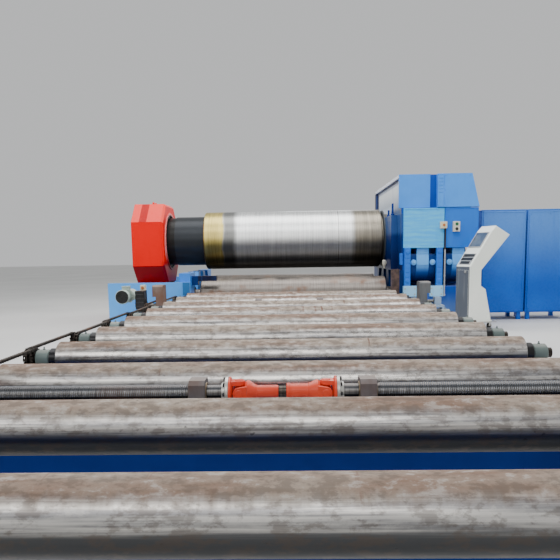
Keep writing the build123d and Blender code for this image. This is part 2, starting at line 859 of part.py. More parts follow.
# Cardan shaft: two universal joints, a tapered tube, a splined end and its sleeve
def universal_joint(joint_x, side):
    """Flange fork with upright ears, cross, and tube fork with ears front and back."""
    y = near_screw_y
    z = screw_axis_height
    flange_x = joint_x + side * cardan_fork_length
    flange_back = flange_x - side * cardan_flange_thickness
    tube_x = joint_x - side * cardan_fork_length
    ear_root = joint_x + side * cardan_ear_gap / 2
    rod_along_x(cardan_flange_diameter, flange_x, flange_back, y, z)
    rod_along_x(cardan_hub_diameter, flange_back, ear_root, y, z)
    rod_along_x(cardan_hub_diameter, tube_x, joint_x - side * cardan_ear_gap / 2, y, z)
    for ear in (-1, 1):
        ear_inner = ear * cardan_ear_gap / 2
        ear_outer = ear * (cardan_ear_gap / 2 + cardan_ear_thickness)
        with BuildSketch(Plane.XY.offset(z + min(ear_inner, ear_outer))) as upright:
            with Locations(((joint_x + flange_back) / 2, y)):
                Rectangle(abs(joint_x - flange_back), cardan_ear_width)
            with Locations((joint_x, y)):
                Circle(cardan_ear_width / 2)
        extrude(upright.sketch, amount=cardan_ear_thickness)
        with BuildSketch(Plane.XZ.offset(-(y + min(ear_inner, ear_outer)))) as level:
            with Locations(((joint_x + tube_x) / 2, z)):
                Rectangle(abs(joint_x - tube_x), cardan_ear_width)
            with Locations((joint_x, z)):
                Circle(cardan_ear_width / 2)
        extrude(level.sketch, amount=-cardan_ear_thickness)
    cross_reach = cardan_ear_gap / 2 + cardan_ear_thickness + cardan_cap_height
    rod_along_y(cardan_cross_diameter, y - cross_reach, y + cross_reach, joint_x, z)
    rod_along_z(cardan_cross_diameter, z - cross_reach, z + cross_reach, joint_x, y)


left_joint = screw_offset - cardan_joint_spacing / 2
right_joint = screw_offset + cardan_joint_spacing / 2
tube_start = left_joint + cardan_fork_length
tube_end = screw_offset - cardan_spline_length / 2
sleeve_start = screw_offset + cardan_spline_length / 2
sleeve_end = right_joint - cardan_fork_length
with BuildPart() as cardan_shaft:
    universal_joint(left_joint, -1)
    universal_joint(right_joint, 1)
    with BuildSketch(Plane.XZ.offset(-near_screw_y)):
        with BuildLine():
            Polyline(
                (tube_start, screw_axis_height),
                (tube_start, screw_axis_height + cardan_hub_diameter / 2),
                ((tube_start + tube_end) / 2, screw_axis_height + cardan_tube_diameter / 2),
                (tube_end, screw_axis_height + cardan_tube_diameter / 2),
                (tube_end, screw_axis_height + cardan_spline_diameter / 2),
                (sleeve_start, screw_axis_height + cardan_spline_diameter / 2),
                (sleeve_start, screw_axis_height + cardan_collar_diameter / 2),
                (sleeve_start + cardan_collar_length, screw_axis_height + cardan_collar_diameter / 2),
                (sleeve_start + cardan_collar_length, screw_axis_height + cardan_sleeve_diameter / 2),
                (sleeve_end, screw_axis_height + cardan_sleeve_diameter / 2),
                (sleeve_end, screw_axis_height),
                close=True,
            )
        make_face()
    revolve(axis=Axis((0, near_screw_y, screw_axis_height), (1, 0, 0)))
save(cardan_shaft, "cardan_shaft")

# Inner bearing blocks of the screws, on feet that stand on the cross beams
block_base = cross_beam_bottom + cross_beam_height
block_top = screw_axis_height + screw_block_size / 2
with BuildPart() as screw_bearing_blocks:
    for y in (near_screw_y, far_screw_y):
        for side in (-1, 1):
            middle = screw_offset + side * block_reach
            with BuildSketch(Plane.YZ.offset(middle)):
                with Locations((y, (block_base + block_top) / 2)):
                    Rectangle(screw_block_size, block_top - block_base)
                chamfer(vertices().group_by(Axis.Z)[-1], length=screw_block_corner)
                with Locations((y, block_base + screw_block_foot_height / 2)):
                    Rectangle(screw_block_foot, screw_block_foot_height)
                with Locations((y, screw_axis_height)):
                    Circle(screw_shaft_diameter / 2 + pin_clearance, mode=Mode.SUBTRACT)
            extrude(amount=screw_block_width / 2, both=True)
save(screw_bearing_blocks, "screw_bearing_blocks")

# Outer pedestals: an arched stand with a bearing on the right, and a gearbox stand on the left
right_pedestal = screw_end - pedestal_width / 2 + pedestal_overhang
left_pedestal = -(screw_end + gearbox_width / 2 - pedestal_width / 2)
screw_end_bore = screw_end_diameter + 2 * pin_clearance
with BuildPart() as screw_pedestals:
    for y in (near_screw_y, far_screw_y):
        for middle, top in ((right_pedestal, pedestal_top), (left_pedestal, gearbox_bottom)):
            box_between((middle - pedestal_width / 2, y - pedestal_length / 2, 0),
                        (middle + pedestal_width / 2, y + pedestal_length / 2, top))
            arch_half_width = pedestal_width / 2 - pedestal_wall
            box_between((middle - arch_half_width, y - pedestal_length / 2, 0),
                        (middle + arch_half_width, y + pedestal_length / 2, top - pedestal_wall),
                        Mode.SUBTRACT)
        bearing_top = screw_axis_height + end_bearing_size / 2
        bearing_inner = right_pedestal - end_bearing_width / 2
        bearing_outer = right_pedestal + end_bearing_width / 2
        box_between((bearing_inner, y - end_bearing_size / 2, pedestal_top),
                    (bearing_outer, y + end_bearing_size / 2, bearing_top))
        rod_along_x(screw_end_bore, bearing_inner, bearing_outer, y, screw_axis_height, Mode.SUBTRACT)
save(screw_pedestals, "screw_pedestals")

# Gearmotors of the screws: a gearbox on the stand, a motor towards the front with its fan cover
gearbox_inner = -screw_end + screw_block_gap + pedestal_wall
gearbox_outer = gearbox_inner - gearbox_width
motor_x = gearbox_outer + motor_diameter / 2
with BuildPart() as centring_gearmotors:
    for y in (near_screw_y, far_screw_y):
        front = y - gearbox_length / 2
        box_between((gearbox_outer, front, gearbox_bottom),
                    (gearbox_inner, y + gearbox_length / 2, gearbox_top))
        rod_along_x(screw_end_bore, -screw_end, gearbox_inner, y, screw_axis_height, Mode.SUBTRACT)
        rod_along_y(motor_diameter, front - motor_length, front, motor_x, motor_axis_height)
        rod_along_y(fan_cover_diameter, front - motor_length - fan_cover_length, front - motor_length,
                    motor_x, motor_axis_height)
        terminal_rear = front - terminal_box_setback
        terminal_top = motor_axis_height + motor_diameter / 2 + terminal_box_size / 2
        terminal_front = terminal_rear - terminal_box_length
        box_between((motor_x - terminal_box_size / 2, terminal_front, motor_axis_height),
                    (motor_x + terminal_box_size / 2, terminal_rear, terminal_top))
save(centring_gearmotors, "centring_gearmotors")


# Pushers that ride on the screws, four alike: a foot round the screw and a wider head
def make_pusher(side, y):
    """One pusher at its outer end of travel."""
    inner = side * (pusher_centre - pusher_width / 2)
    outer = side * (pusher_centre + pusher_width / 2)
    foot_outer = inner + side * pusher_foot_width
    with BuildPart() as pusher:
        box_between((min(inner, foot_outer), y - pusher_length / 2, pusher_bottom),
                    (max(inner, foot_outer), y + pusher_length / 2, pusher_step))
        box_between((min(inner, outer), y - pusher_length / 2, pusher_step),
                    (max(inner, outer), y + pusher_length / 2, pusher_top))
        chamfer(edges().filter_by(Axis.X).group_by(Axis.Z)[-1], length=screw_block_corner)
        bore = screw_diameter + 2 * pusher_bore_gap
        rod_along_x(bore, inner, foot_outer, y, screw_axis_height, Mode.SUBTRACT)
    return pusher


for label, y in (("near", near_screw_y), ("far", far_screw_y)):
    for hand, side in (("left", -1), ("right", 1)):
        save(make_pusher(side, y), f"{label}_pusher_{hand}")

# Cabinets side by side, with raised doors on front and rear, on short legs
cabinet_left = housing_end + cabinet_distance
cabinet_front = -frame_half_depth + cabinet_setback
cabinet_rear = cabinet_front + cabinet_depth
with BuildPart() as electric_cabinets:
    for number in range(2):
        left = cabinet_left + number * (cabinet_width + cabinet_gap)
        right = left + cabinet_width
        box_between((left, cabinet_front, cabinet_leg_height), (right, cabinet_rear, cabinet_height))
        box_between((left + cabinet_door_inset, cabinet_front - cabinet_door_thickness,
                     cabinet_leg_height + cabinet_door_inset),
                    (right - cabinet_door_inset, cabinet_rear + cabinet_door_thickness,
                     cabinet_height - cabinet_door_inset))
        with Locations(((left + right) / 2, (cabinet_front + cabinet_rear) / 2, cabinet_leg_height / 2)):
            leg_spacing_x = cabinet_width - 2 * cabinet_leg_width
            leg_spacing_y = cabinet_depth - 2 * cabinet_leg_width
            with GridLocations(leg_spacing_x, leg_spacing_y, 2, 2):
                Box(cabinet_leg_width, cabinet_leg_width, cabinet_leg_height)
save(electric_cabinets, "electric_cabinets")

# Console: a leaning housing with a sloping desk, turned towards the table
console_plane = Plane(
    origin=(guide_right + console_across, -frame_half_depth - console_ahead, 0),
    x_dir=(cos(radians(console_turn)), sin(radians(console_turn)), 0),
    z_dir=(sin(radians(console_turn)), -cos(radians(console_turn)), 0),
)
desk_top = (console_slope_run, console_front_height + console_slope_rise)
head_corner = (console_column_width + console_head_depth, console_column_end + console_head_rise)
cap_corner = (head_corner[0] - console_cap_width, head_corner[1] + console_cap_rise)
with BuildPart() as console_body:
    with BuildSketch(console_plane):
        with BuildLine():
            Polyline(
                (0, console_base),
                (console_depth, console_base),
                (console_depth - console_foot_lean, console_base + console_foot_rise),
                (console_column_width, console_column_start),
                (console_column_width, console_column_end),
                head_corner,
                cap_corner,
                desk_top,
                (0, console_front_height),
                close=True,
            )
        make_face()
    extrude(amount=-console_width)
    side_faces = faces().filter_by(console_plane)
    chamfer(side_faces.edges(), length=edge_chamfer)
save(console_body, "console_body")

# Wheeled base of the console: a plate on four swivel casters
with BuildPart() as console_trolley:
    plate_middle = console_depth / 2
    with BuildSketch(console_plane.offset(console_plate_margin)):
        with Locations((plate_middle, console_base - console_plate_thickness / 2)):
            Rectangle(console_plate_depth, console_plate_thickness)
    extrude(amount=-console_width - 2 * console_plate_margin)
    for along in (-1, 1):
        for depth in (caster_inset, console_width - caster_inset):
            caster_x = plate_middle + along * (console_plate_depth / 2 - caster_inset)
            with BuildSketch(console_plane.offset(-depth)):
                with Locations((caster_x, caster_diameter / 2)):
                    Circle(caster_diameter / 2)
                stem_low = caster_diameter / 2
                stem_top = console_base - console_plate_thickness
                with Locations((caster_x, (stem_low + stem_top) / 2)):
                    Rectangle(caster_diameter / 2, stem_top - stem_low)
            extrude(amount=caster_width / 2, both=True)
save(console_trolley, "console_trolley")

# Desk of the console: a raised display and a key strip on the slope
slope_length = (console_slope_run ** 2 + console_slope_rise ** 2) ** 0.5
slope_u = (console_slope_run / slope_length, console_slope_rise / slope_length)
slope_out = (-slope_u[1], slope_u[0])


def desk_strip(start, end, height):
    """Corners of a strip on the sloping desk, between two distances from its lower edge."""
    low = (slope_u[0] * start, console_front_height + slope_u[1] * start)
    high = (slope_u[0] * end, console_front_height + slope_u[1] * end)
    rise = (slope_out[0] * height, slope_out[1] * height)
    return [low, high, (high[0] + rise[0], high[1] + rise[1]), (low[0] + rise[0], low[1] + rise[1])]


display_end = slope_length - display_margin
display_start = display_end - display_length
with BuildPart() as console_desk:
    for start, end in ((display_margin, display_margin + keyboard_length), (display_start, display_end)):
        with BuildSketch(console_plane.offset(-display_margin)):
            Polygon(*desk_strip(start, end, display_raise), align=None)
        extrude(amount=-(console_width - 2 * display_margin))
save(console_desk, "console_desk")

# Push-button boxes on the housing's panels with a pipe down, and one on a stand beside the table
panel_front = -frame_half_depth - panel_thickness
button_top = cover_split_height - stop_box_drop
stop_box_x = guide_right + stop_box_across
pair_box_x = guide_right + pair_box_across
stand_x = -screw_end - stand_reach
stand_y = far_screw_y + gearbox_length / 2 + stand_box_size
with BuildPart() as push_button_boxes:
    box_between((stop_box_x, panel_front - button_box_depth, button_top - button_box_height),
                (stop_box_x + button_box_width, panel_front, button_top))
    box_between((pair_box_x, panel_front - button_box_depth, button_top - pair_box_height),
                (pair_box_x + pair_box_width, panel_front, button_top))
    rod_along_z(pipe_diameter, strap_bottom, button_top - button_box_height,
                stop_box_x + button_box_width - pipe_inset, panel_front - button_box_depth / 2)
    rod_along_z(pipe_diameter, 0, stand_height, stand_x, stand_y)
    box_between((stand_x - stand_box_size / 2, stand_y - stand_box_size / 2, stand_height),
                (stand_x + stand_box_size / 2, stand_y + stand_box_size / 2, stand_height + stand_box_size))
save(push_button_boxes, "push_button_boxes")
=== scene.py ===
# %% [markdown]
# # A four-roll plate rolling machine with its roller table
# The machine bends thick steel plate between a large upper roll and three low rolls. Its solids arrive as a
# fixed frame in metres: X along the rolls, Y along the feed, Z up. This lesson gives them finishes, and adds
# the small shapes that a solid model leaves out.

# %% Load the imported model
import bmesh
import bpy
from math import cos, hypot, pi, radians, sin
from mathutils import Matrix, Vector


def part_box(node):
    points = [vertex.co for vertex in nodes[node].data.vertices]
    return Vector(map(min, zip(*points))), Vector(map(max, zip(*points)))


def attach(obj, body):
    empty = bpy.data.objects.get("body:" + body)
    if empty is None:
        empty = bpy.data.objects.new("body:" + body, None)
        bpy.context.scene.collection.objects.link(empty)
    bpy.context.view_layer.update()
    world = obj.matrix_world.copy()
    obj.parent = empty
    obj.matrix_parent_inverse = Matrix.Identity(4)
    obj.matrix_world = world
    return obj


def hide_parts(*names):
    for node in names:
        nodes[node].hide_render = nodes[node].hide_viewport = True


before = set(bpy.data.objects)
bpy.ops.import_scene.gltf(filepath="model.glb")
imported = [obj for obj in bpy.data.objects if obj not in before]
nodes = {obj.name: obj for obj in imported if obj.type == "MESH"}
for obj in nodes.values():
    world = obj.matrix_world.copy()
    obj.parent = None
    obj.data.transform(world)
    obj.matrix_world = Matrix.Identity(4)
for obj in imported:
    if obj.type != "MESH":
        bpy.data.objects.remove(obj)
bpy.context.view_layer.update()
print("nodes loaded:", len(nodes))


# %% [markdown]
# ## Camera and light
# The photograph is taken at chest height from the end of the table, with a wide lens held almost level.
# A long soft lamp overhead draws the bright line along every roller, as the roof lights of a hall do.

# %% Camera
def new_object(name, data):
    """An object with its data, linked to the scene."""
    thing = bpy.data.objects.new(name, data)
    bpy.context.scene.collection.objects.link(thing)
    return thing


def rotated(degrees, letter):
    """A turn round one axis."""
    return Matrix.Rotation(radians(degrees), 4, letter)


optics = bpy.data.cameras.new("table_end_camera")
optics.lens, optics.sensor_width, optics.shift_y = 38.57, 36, 0.089
camera = new_object("table_end_camera", optics)
camera.matrix_world = (Matrix.Translation((0.035, -10.70, 1.15)) @ rotated(1.34, "Z") @ rotated(90 - 7.32, "X")
                       @ rotated(-0.9, "Z"))
bpy.context.scene.camera = camera
print("camera at", tuple(round(v, 2) for v in camera.matrix_world.translation))

# %% Lamps and sky
white = (1, 1, 1)
for name, place, aim, size, power, tint in (
        ("roof_lamp_table", (0, -5.5, 6.5), (0, -5.5, 0), (9, 4), 430, white),
        ("roof_lamp_machine", (0, -0.5, 7.5), (0, -0.3, 0), (10, 4), 600, white),
        ("front_fill", (-2, -15, 6), (0, -1, 1.2), (9, 4), 300, (1, 0.99, 0.97)),
        ("back_fill", (4, 13, 6), (0, 0, 0.8), (9, 5), 320, (0.95, 0.98, 1))):
    lamp = bpy.data.lights.new(name, "AREA")
    lamp.shape, lamp.energy, lamp.color = "RECTANGLE", power, tint
    lamp.size, lamp.size_y = size
    aimed = (Vector(aim) - Vector(place)).to_track_quat("-Z", "Y").to_matrix().to_4x4()
    new_object(name, lamp).matrix_world = Matrix.Translation(place) @ aimed
sky = bpy.data.worlds.new("pale_studio")
sky.use_nodes = True
glow = sky.node_tree.nodes["Background"].inputs
glow[0].default_value, glow[1].default_value = (0.86, 0.87, 0.88, 1), 0.72
bpy.context.scene.world = sky
print("lamps:", len(bpy.data.lights))


# %% [markdown]
# ## Writing finishes as recipes
# A finish is a small tree of shader nodes. Writing one by hand takes many lines, so helpers come first: `put`
# adds a node, a `Field` lets numbers be added and multiplied, and `Finish` has the steps that all finishes share.

# %% Nodes
def fill(socket, value):
    """Sets a socket, or links another socket, a field or a node's first output to it; None leaves it alone."""
    if isinstance(value, bpy.types.Node):
        value = value.outputs[0]
    value = getattr(value, "socket", value)
    if isinstance(value, bpy.types.NodeSocket):
        socket.id_data.links.new(value, socket)
    elif value is not None:
        socket.default_value = (*value, 1) if socket.type == "RGBA" else value


def put(tree, kind, *values, **named):
    """Adds a node. Values fill its inputs in order, capitalised names fill an input, others are its options."""
    node = tree.nodes.new(kind)
    for name, value in named.items():
        if name[0].isupper():
            fill(node.inputs[name.replace("_", " ")], value)
        else:
            setattr(node, name, value)
    for socket, value in zip(node.inputs, values):
        fill(socket, value)
    return node


class Field:
    """A number that varies over a piece; every sum with it adds a node."""

    def __init__(self, socket):
        self.socket = socket

    def math(self, operation, *others):
        """One step of arithmetic."""
        return Field(put(self.socket.id_data, "ShaderNodeMath", self, *others, operation=operation).outputs[0])

    def __add__(self, other):
        return self.math("ADD", other)

    def __mul__(self, other):
        return self.math("MULTIPLY", other)

    def scaled(self, factor, shift):
        """The field times a factor, plus a shift."""
        return self.math("MULTIPLY_ADD", factor, shift)

    def step(self, low, high):
        """Rises smoothly from 0 at low to 1 at high."""
        return Field(put(self.socket.id_data, "ShaderNodeMapRange", self, low, high, 0.0, 1.0,
                         interpolation_type="SMOOTHSTEP").outputs[0])

    def above(self, limit, soft=0.004):
        """1 above a limit, fading over a short way."""
        return self.step(limit - soft, limit + soft)

    def below(self, limit, soft=0.004):
        """1 below a limit."""
        return self.step(limit + soft, limit - soft)

    def between(self, start, end, soft=0.004):
        """1 between two limits."""
        return self.above(start, soft) * self.below(end, soft)


# %% Finishes
class Finish:
    """A material that is being put together on the piece's own coordinates."""

    def __init__(self, name, **shader):
        self.material = bpy.data.materials.new(name)
        self.material.use_nodes = True
        self.tree = self.material.node_tree
        texture = put(self.tree, "ShaderNodeTexCoord")
        self.place, self.facing = texture.outputs["Object"], texture.outputs["Normal"]
        self.x, self.y, self.z = map(Field, put(self.tree, "ShaderNodeSeparateXYZ", self.place).outputs)
        self.aside, _, self.up = map(Field, put(self.tree, "ShaderNodeSeparateXYZ", self.facing).outputs)
        self.give(**shader)

    def give(self, **values):
        """Fills inputs of the shader."""
        for label, value in values.items():
            fill(self.tree.nodes["Principled BSDF"].inputs[label.replace("_", " ")], value)

    def noise(self, scale, detail=3.0, stretch=(1, 1, 1), rough=0.55):
        """Cloudy noise, drawn out along some axes."""
        mapped = put(self.tree, "ShaderNodeMapping", self.place, Scale=stretch)
        return Field(put(self.tree, "ShaderNodeTexNoise", mapped, Scale=scale, Detail=detail,
                         Roughness=rough).outputs[0])

    def mix(self, share, first, second, blend="MIX"):
        """Mixes two colours."""
        return Field(put(self.tree, "ShaderNodeMix", share, *[None] * 5, first, second, data_type="RGBA",
                         blend_type=blend).outputs[2])

    def tint(self, *layers):
        """Lays tones over the colour, given as share, tone, share, tone."""
        for share, tone in zip(layers[::2], layers[1::2]):
            self.colour = self.mix(share, self.colour, tone)

    def measure(self, operation, first, second):
        """A number from two vectors."""
        return Field(put(self.tree, "ShaderNodeVectorMath", first, second, operation=operation).outputs["Value"])

    def rounded(self, radius):
        """A normal that rounds sharp edges, and a mask that is 1 on those edges."""
        bevel = put(self.tree, "ShaderNodeBevel", radius, samples=4)
        flat = put(self.tree, "ShaderNodeNewGeometry").outputs["Normal"]
        return bevel, self.measure("DOT_PRODUCT", bevel, flat).scaled(-1.0, 1.0).step(0.02, 0.16)

    def close(self, height, strength, distance, base=None, **values):
        """Gives the shader its last inputs and a bump from a height, and returns the material."""
        self.give(**values, Normal=put(self.tree, "ShaderNodeBump", Strength=strength, Distance=distance,
                                       Height=height, Normal=base))
        return self.material


dust_tone, bare_tone = (0.46, 0.39, 0.33), (0.16, 0.15, 0.14)
print("finish helpers ready")


# %% [markdown]
# ## Painted steel
# The housings are sprayed with glossy paint over plate. Real paint is never one colour: it varies a little
# from panel to panel, gathers dust on what faces up, and chips along the edges that get knocked. A zone
# function adds what a single piece shows in one place, so no second mesh is needed there.

# %% Paint
def paint(name, tone, deep, gloss=0.34, coat=0.06, dust=0.25, chips=0.4, edge=0.005, zone=None, mirror=0.15):
    """Sprayed paint from a light tone to a deeper one, with dust, streaks and chipped edges."""
    f = Finish(name, Coat_Weight=coat, Coat_Roughness=0.12, Specular_IOR_Level=mirror)
    cloud = f.noise(1.3, 4)
    f.colour = f.mix(cloud.step(0.32, 0.68), deep, tone)
    if zone:
        zone(f)
    speck = f.noise(34.0, 6)
    settled = f.up.step(0.55, 0.98) * cloud.step(0.25, 0.75)
    soft, edges = f.rounded(edge)
    f.tint(f.noise(5.0, 5, (3.0, 3.0, 0.35)).step(0.5, 0.8) * 0.22, deep, settled * dust, dust_tone,
           edges * speck.step(0.52, 0.66) * chips, bare_tone)
    rough = settled.scaled(0.35 * dust, speck.scaled(0.18, gloss - 0.09))
    return f.close(speck, 0.06, 0.001, soft, Base_Color=f.colour, Roughness=rough)


# %% Zones of the blue solids
def guide_zone(f):
    """The right guide is painted navy as the deep shade round the roll's end, the rest bar is navy, the bar's tip is
    nearly black, and the front post is rusty.
    """
    bar, tip = (f.x.between(start, -1.0) * f.z.above(0.65) for start in (-1.590, -1.490))
    rust = f.mix(f.noise(14, 5).step(0.35, 0.65), (0.055, 0.040, 0.038), (0.13, 0.085, 0.072))
    # Painted shade: the right guide (x above 0.5) is navy as the deep shade round the roll's end; the rest bar shares
    # the tint.
    f.tint(f.x.above(0.5).math("MAXIMUM", bar), (0.003, 0.030, 0.15), tip, (0.006, 0.008, 0.035),
           f.x.above(0.5, 0.001) * f.y.below(-1.324, 0.001), rust)


def plate_zone(f):
    """The upright rib at the end of the front plate is a deeper blue."""
    f.tint(f.x.above(-1.70, 0.001) * f.y.below(-1.3205, 0.001), (0.035, 0.16, 0.42))


def housing_zone(f):
    """Towards the rolls the wall whitens upwards and is white at its lip as painted highlights, with painted shadow
    below the lip; it is pale above the neck's pad near the roll, and painted shade makes the pad blue to navy.
    """
    f.tint(f.z.step(0.55, 0.20) * 0.8, (0.12, 0.23, 0.50))
    # Painted highlight: the wall facing the rolls whitens towards the top.
    blue, f.colour = f.colour, f.mix(f.z.step(1.78, 2.18), (0.36, 0.43, 0.54), (0.90, 0.96, 1.0))
    # Pale above the pad near the roll; painted shade on the wall above the pad further forward; painted shadow below
    # the lip as a mid band and a dark line; the rear edge is navy.
    f.tint(f.z.step(1.92, 1.86) * f.y.step(-0.42, -0.28), (0.66, 0.76, 0.90),
           f.z.step(1.84, 1.76) * f.y.step(-0.30, -0.42), (0.12, 0.19, 0.32),
           f.z.step(2.16, 2.20), (0.42, 0.48, 0.60), f.z.step(2.21, 2.225), (0.03, 0.04, 0.09),
           f.y.step(1.03, 1.16), (0.015, 0.022, 0.085))
    pale, f.colour = f.colour, blue
    # Painted shade: the pad and the wall below it go from blue to navy, darkest at the bottom.
    navy = f.mix(f.z.step(0.95, 1.30), (0.0006, 0.008, 0.070), (0.001, 0.022, 0.14))
    lip = f.x.below(1.690, 0.001) * f.z.above(1.72, 0.001) * f.y.above(-1.319, 0.001)
    # The lip's face is white as a painted highlight, navy at its rear end.
    f.tint(f.aside.step(-0.5, -0.8), pale,
           f.x.below(1.730, 0.001) * f.z.below(1.716, 0.001), f.mix(f.z.step(1.37, 1.46), navy, (0.030, 0.095, 0.29)),
           lip, f.mix(f.y.step(1.34, 1.36), (0.86, 0.90, 1.0), (0.012, 0.020, 0.07)))


def cover_zone(f):
    """The lower left panel is a pale sky blue, and the lower right one is deeper."""
    streaks = f.noise(3.0, 5, (1.0, 1.0, 9.0), 0.65).step(0.35, 0.70)
    f.tint(f.x.below(2.357) * f.z.below(1.796), f.mix(streaks, (0.06, 0.46, 1.0), (0.13, 0.63, 1.0)),
           f.x.above(2.357) * f.z.below(1.796), (0.024, 0.185, 0.72))


casting_places = [2.042, 2.592]
facing_half = 0.093


def casting_zone(f):
    """Painted light and shade: the facing plates lighten towards the top as lit, as do the bosses' caps, while the
    drums beside them are painted navy as shade and all fade downwards into painted shade.
    """
    left, right = (f.x.scaled(1.0, -place).math("ABSOLUTE") for place in casting_places)
    middle = left.math("MINIMUM", right).step(facing_half + 0.004, facing_half)
    # Painted light and shade: lighter facings towards the top, navy drums beside them, darker towards the bottom.
    lit = f.mix(f.z.step(0.80, 0.95), (0.003, 0.080, 0.38), (0.15, 0.49, 1.0))
    f.colour = f.mix(middle.math("MAXIMUM", f.y.step(-1.320, -1.330)), (0.0006, 0.036, 0.19), lit)
    f.tint(f.z.step(0.86, 0.68), (0.0006, 0.012, 0.075))


def yoke_zone(f):
    """Painted light and shade: the upward slopes are painted pink as a highlight but for one deep red strip, the
    downward slopes and the lower inner face are painted deep red as shade, and the rim's edge is painted pale as a
    highlight.
    """
    strip = f.x.between(-2.520, -2.395) * f.z.above(1.60)
    across = put(f.tree, "ShaderNodeVectorMath", f.place, (0.0, 1.0, 1.0), operation="MULTIPLY")
    rim = f.measure("DISTANCE", across, (0.0, 0.0, 1.325)).step(0.56, 0.52)
    # Painted highlight on the upward slopes and the rim's edge; painted shade on the downward slopes and the lower
    # inner face.
    f.tint(f.up.step(0.25, 0.45), f.mix(strip, (1.0, 0.075, 0.055), (0.48, 0.002, 0.003)),
           f.up.step(-0.30, -0.60), (0.33, 0.003, 0.010),
           f.x.above(-2.135, 0.06) * f.z.below(1.02, 0.06), (0.17, 0.004, 0.016),
           rim * f.x.step(-2.125, -2.120) * f.z.step(1.00, 1.20), (1.0, 0.30, 0.30))


cover_blue = paint("cover_blue_paint", (0.085, 0.365, 0.98), (0.055, 0.29, 0.86), zone=cover_zone)
strap_blue = paint("strap_blue_paint", (0.034, 0.22, 0.80), (0.020, 0.15, 0.64),
                   zone=lambda f: f.tint(f.z.below(0.612), (0.36, 0.72, 1.0)))
guide_blue = paint("guide_blue_paint", (0.07, 0.32, 0.86), (0.04, 0.23, 0.72), zone=guide_zone)
plate_blue = paint("plate_blue_paint", (0.12, 0.44, 0.98), (0.09, 0.37, 0.90), zone=plate_zone, dust=0.1)
housing_blue = paint("housing_blue_paint", (0.012, 0.10, 0.50), (0.006, 0.06, 0.36), zone=housing_zone)
casting_blue = paint("casting_blue_paint", (0.010, 0.13, 0.60), (0.005, 0.09, 0.46), gloss=0.36, zone=casting_zone)
beam_blue = paint("beam_blue_paint", (0.004, 0.050, 0.36), (0.002, 0.032, 0.25), gloss=0.4, coat=0.0, dust=0.2)
# The caps' blue is lighter than their paint as a painted highlight.
cap_blue_and_highlight = paint("boss_cap_paint", (0.20, 0.56, 1.0), (0.15, 0.48, 0.95), gloss=0.4)
stand_blue = paint("stand_blue_paint", (0.40, 0.50, 0.64), (0.30, 0.41, 0.56), gloss=0.45, dust=0.3)
# Painted light: the cabinets are lighter towards the top.
cabinet_blue = paint("cabinet_blue_paint", (0.005, 0.125, 0.62), (0.003, 0.09, 0.50), gloss=0.28, coat=0.1,
                     chips=0.2, zone=lambda f: f.tint(f.z.step(0.5, 1.7) * 0.6, (0.15, 0.39, 0.84)))
yoke_red = paint("yoke_red_paint", (1.0, 0.005, 0.002), (0.90, 0.003, 0.002), coat=0.0, dust=0.05, chips=0.3,
                 edge=0.012, zone=yoke_zone, mirror=0.08)
bearing_green = paint("bearing_green_paint", (0.20, 0.25, 0.235), (0.12, 0.155, 0.145), gloss=0.42, coat=0.1,
                      dust=0.4, chips=0.8)
motor_green = paint("motor_green_paint", (0.52, 0.62, 0.56), (0.36, 0.45, 0.40), gloss=0.4, coat=0.1, dust=0.3)
shaft_red = paint("cardan_red_paint", (0.92, 0.115, 0.050), (0.66, 0.040, 0.022), gloss=0.36, coat=0.15,
                  chips=0.7, edge=0.003)
print("paints made")

# %% [markdown]
# ## Console and plastic finishes
# The console is cream sheet steel with a grey front. Which faces are grey follows from where they face,
# so the finish reads the piece's own normal instead of needing a second mesh.

# %% Console and plastics
console_turn = radians(20)
console_right = Vector((cos(console_turn), sin(console_turn), 0))
console_out = Vector((sin(console_turn), -cos(console_turn), 0))


def console_zone(f):
    """Grey on the upright front, cream on the rest."""
    f.tint(f.measure("DOT_PRODUCT", f.facing, tuple(-console_right)).step(0.93, 0.97), (0.125, 0.140, 0.163))


def plastic(name, tone, deep, rough=0.42, relief=0.05):
    """Moulded plastic or rubber with a faint mottle and fine grain."""
    f = Finish(name)
    grain = f.noise(160, 3)
    return f.close(grain, relief, 0.0006, Base_Color=f.mix(f.noise(9, 4).step(0.3, 0.7), deep, tone),
                   Roughness=grain.scaled(0.2, rough - 0.1))


console_cream = paint("console_cream_paint", (0.98, 1.0, 0.93), (0.90, 0.94, 0.87), gloss=0.36, coat=0.15,
                      dust=0.15, chips=0.15, zone=console_zone)
display_glass = plastic("display_glass", (0.13, 0.17, 0.22), (0.075, 0.10, 0.14), 0.12, 0.01)
key_black = plastic("key_black_plastic", (0.03, 0.03, 0.032), (0.018, 0.018, 0.02), 0.5)
rubber_black = plastic("wheel_rubber", (0.022, 0.022, 0.022), (0.012, 0.012, 0.012), 0.7, 0.2)
box_cream = plastic("button_box_cream", (0.82, 0.74, 0.50), (0.72, 0.64, 0.42))
box_ivory = plastic("button_box_ivory", (0.78, 0.76, 0.66), (0.66, 0.64, 0.54))
button_orange = plastic("stop_button_orange", (0.60, 0.20, 0.06), (0.45, 0.14, 0.04), 0.3)
button_green = plastic("start_button_green", (0.02, 0.18, 0.07), (0.015, 0.13, 0.05), 0.3)
panel_grey = plastic("display_bezel_grey", (0.46, 0.47, 0.48), (0.38, 0.39, 0.40), 0.4)
print("plastics made")


# %% [markdown]
# ## Bare and rusty steel
# The rolls are bare. Turned steel shows fine rings round its axis, so the noise is drawn out along Y and Z
# and packed along X. Rust starts where water stands and runs down from there.

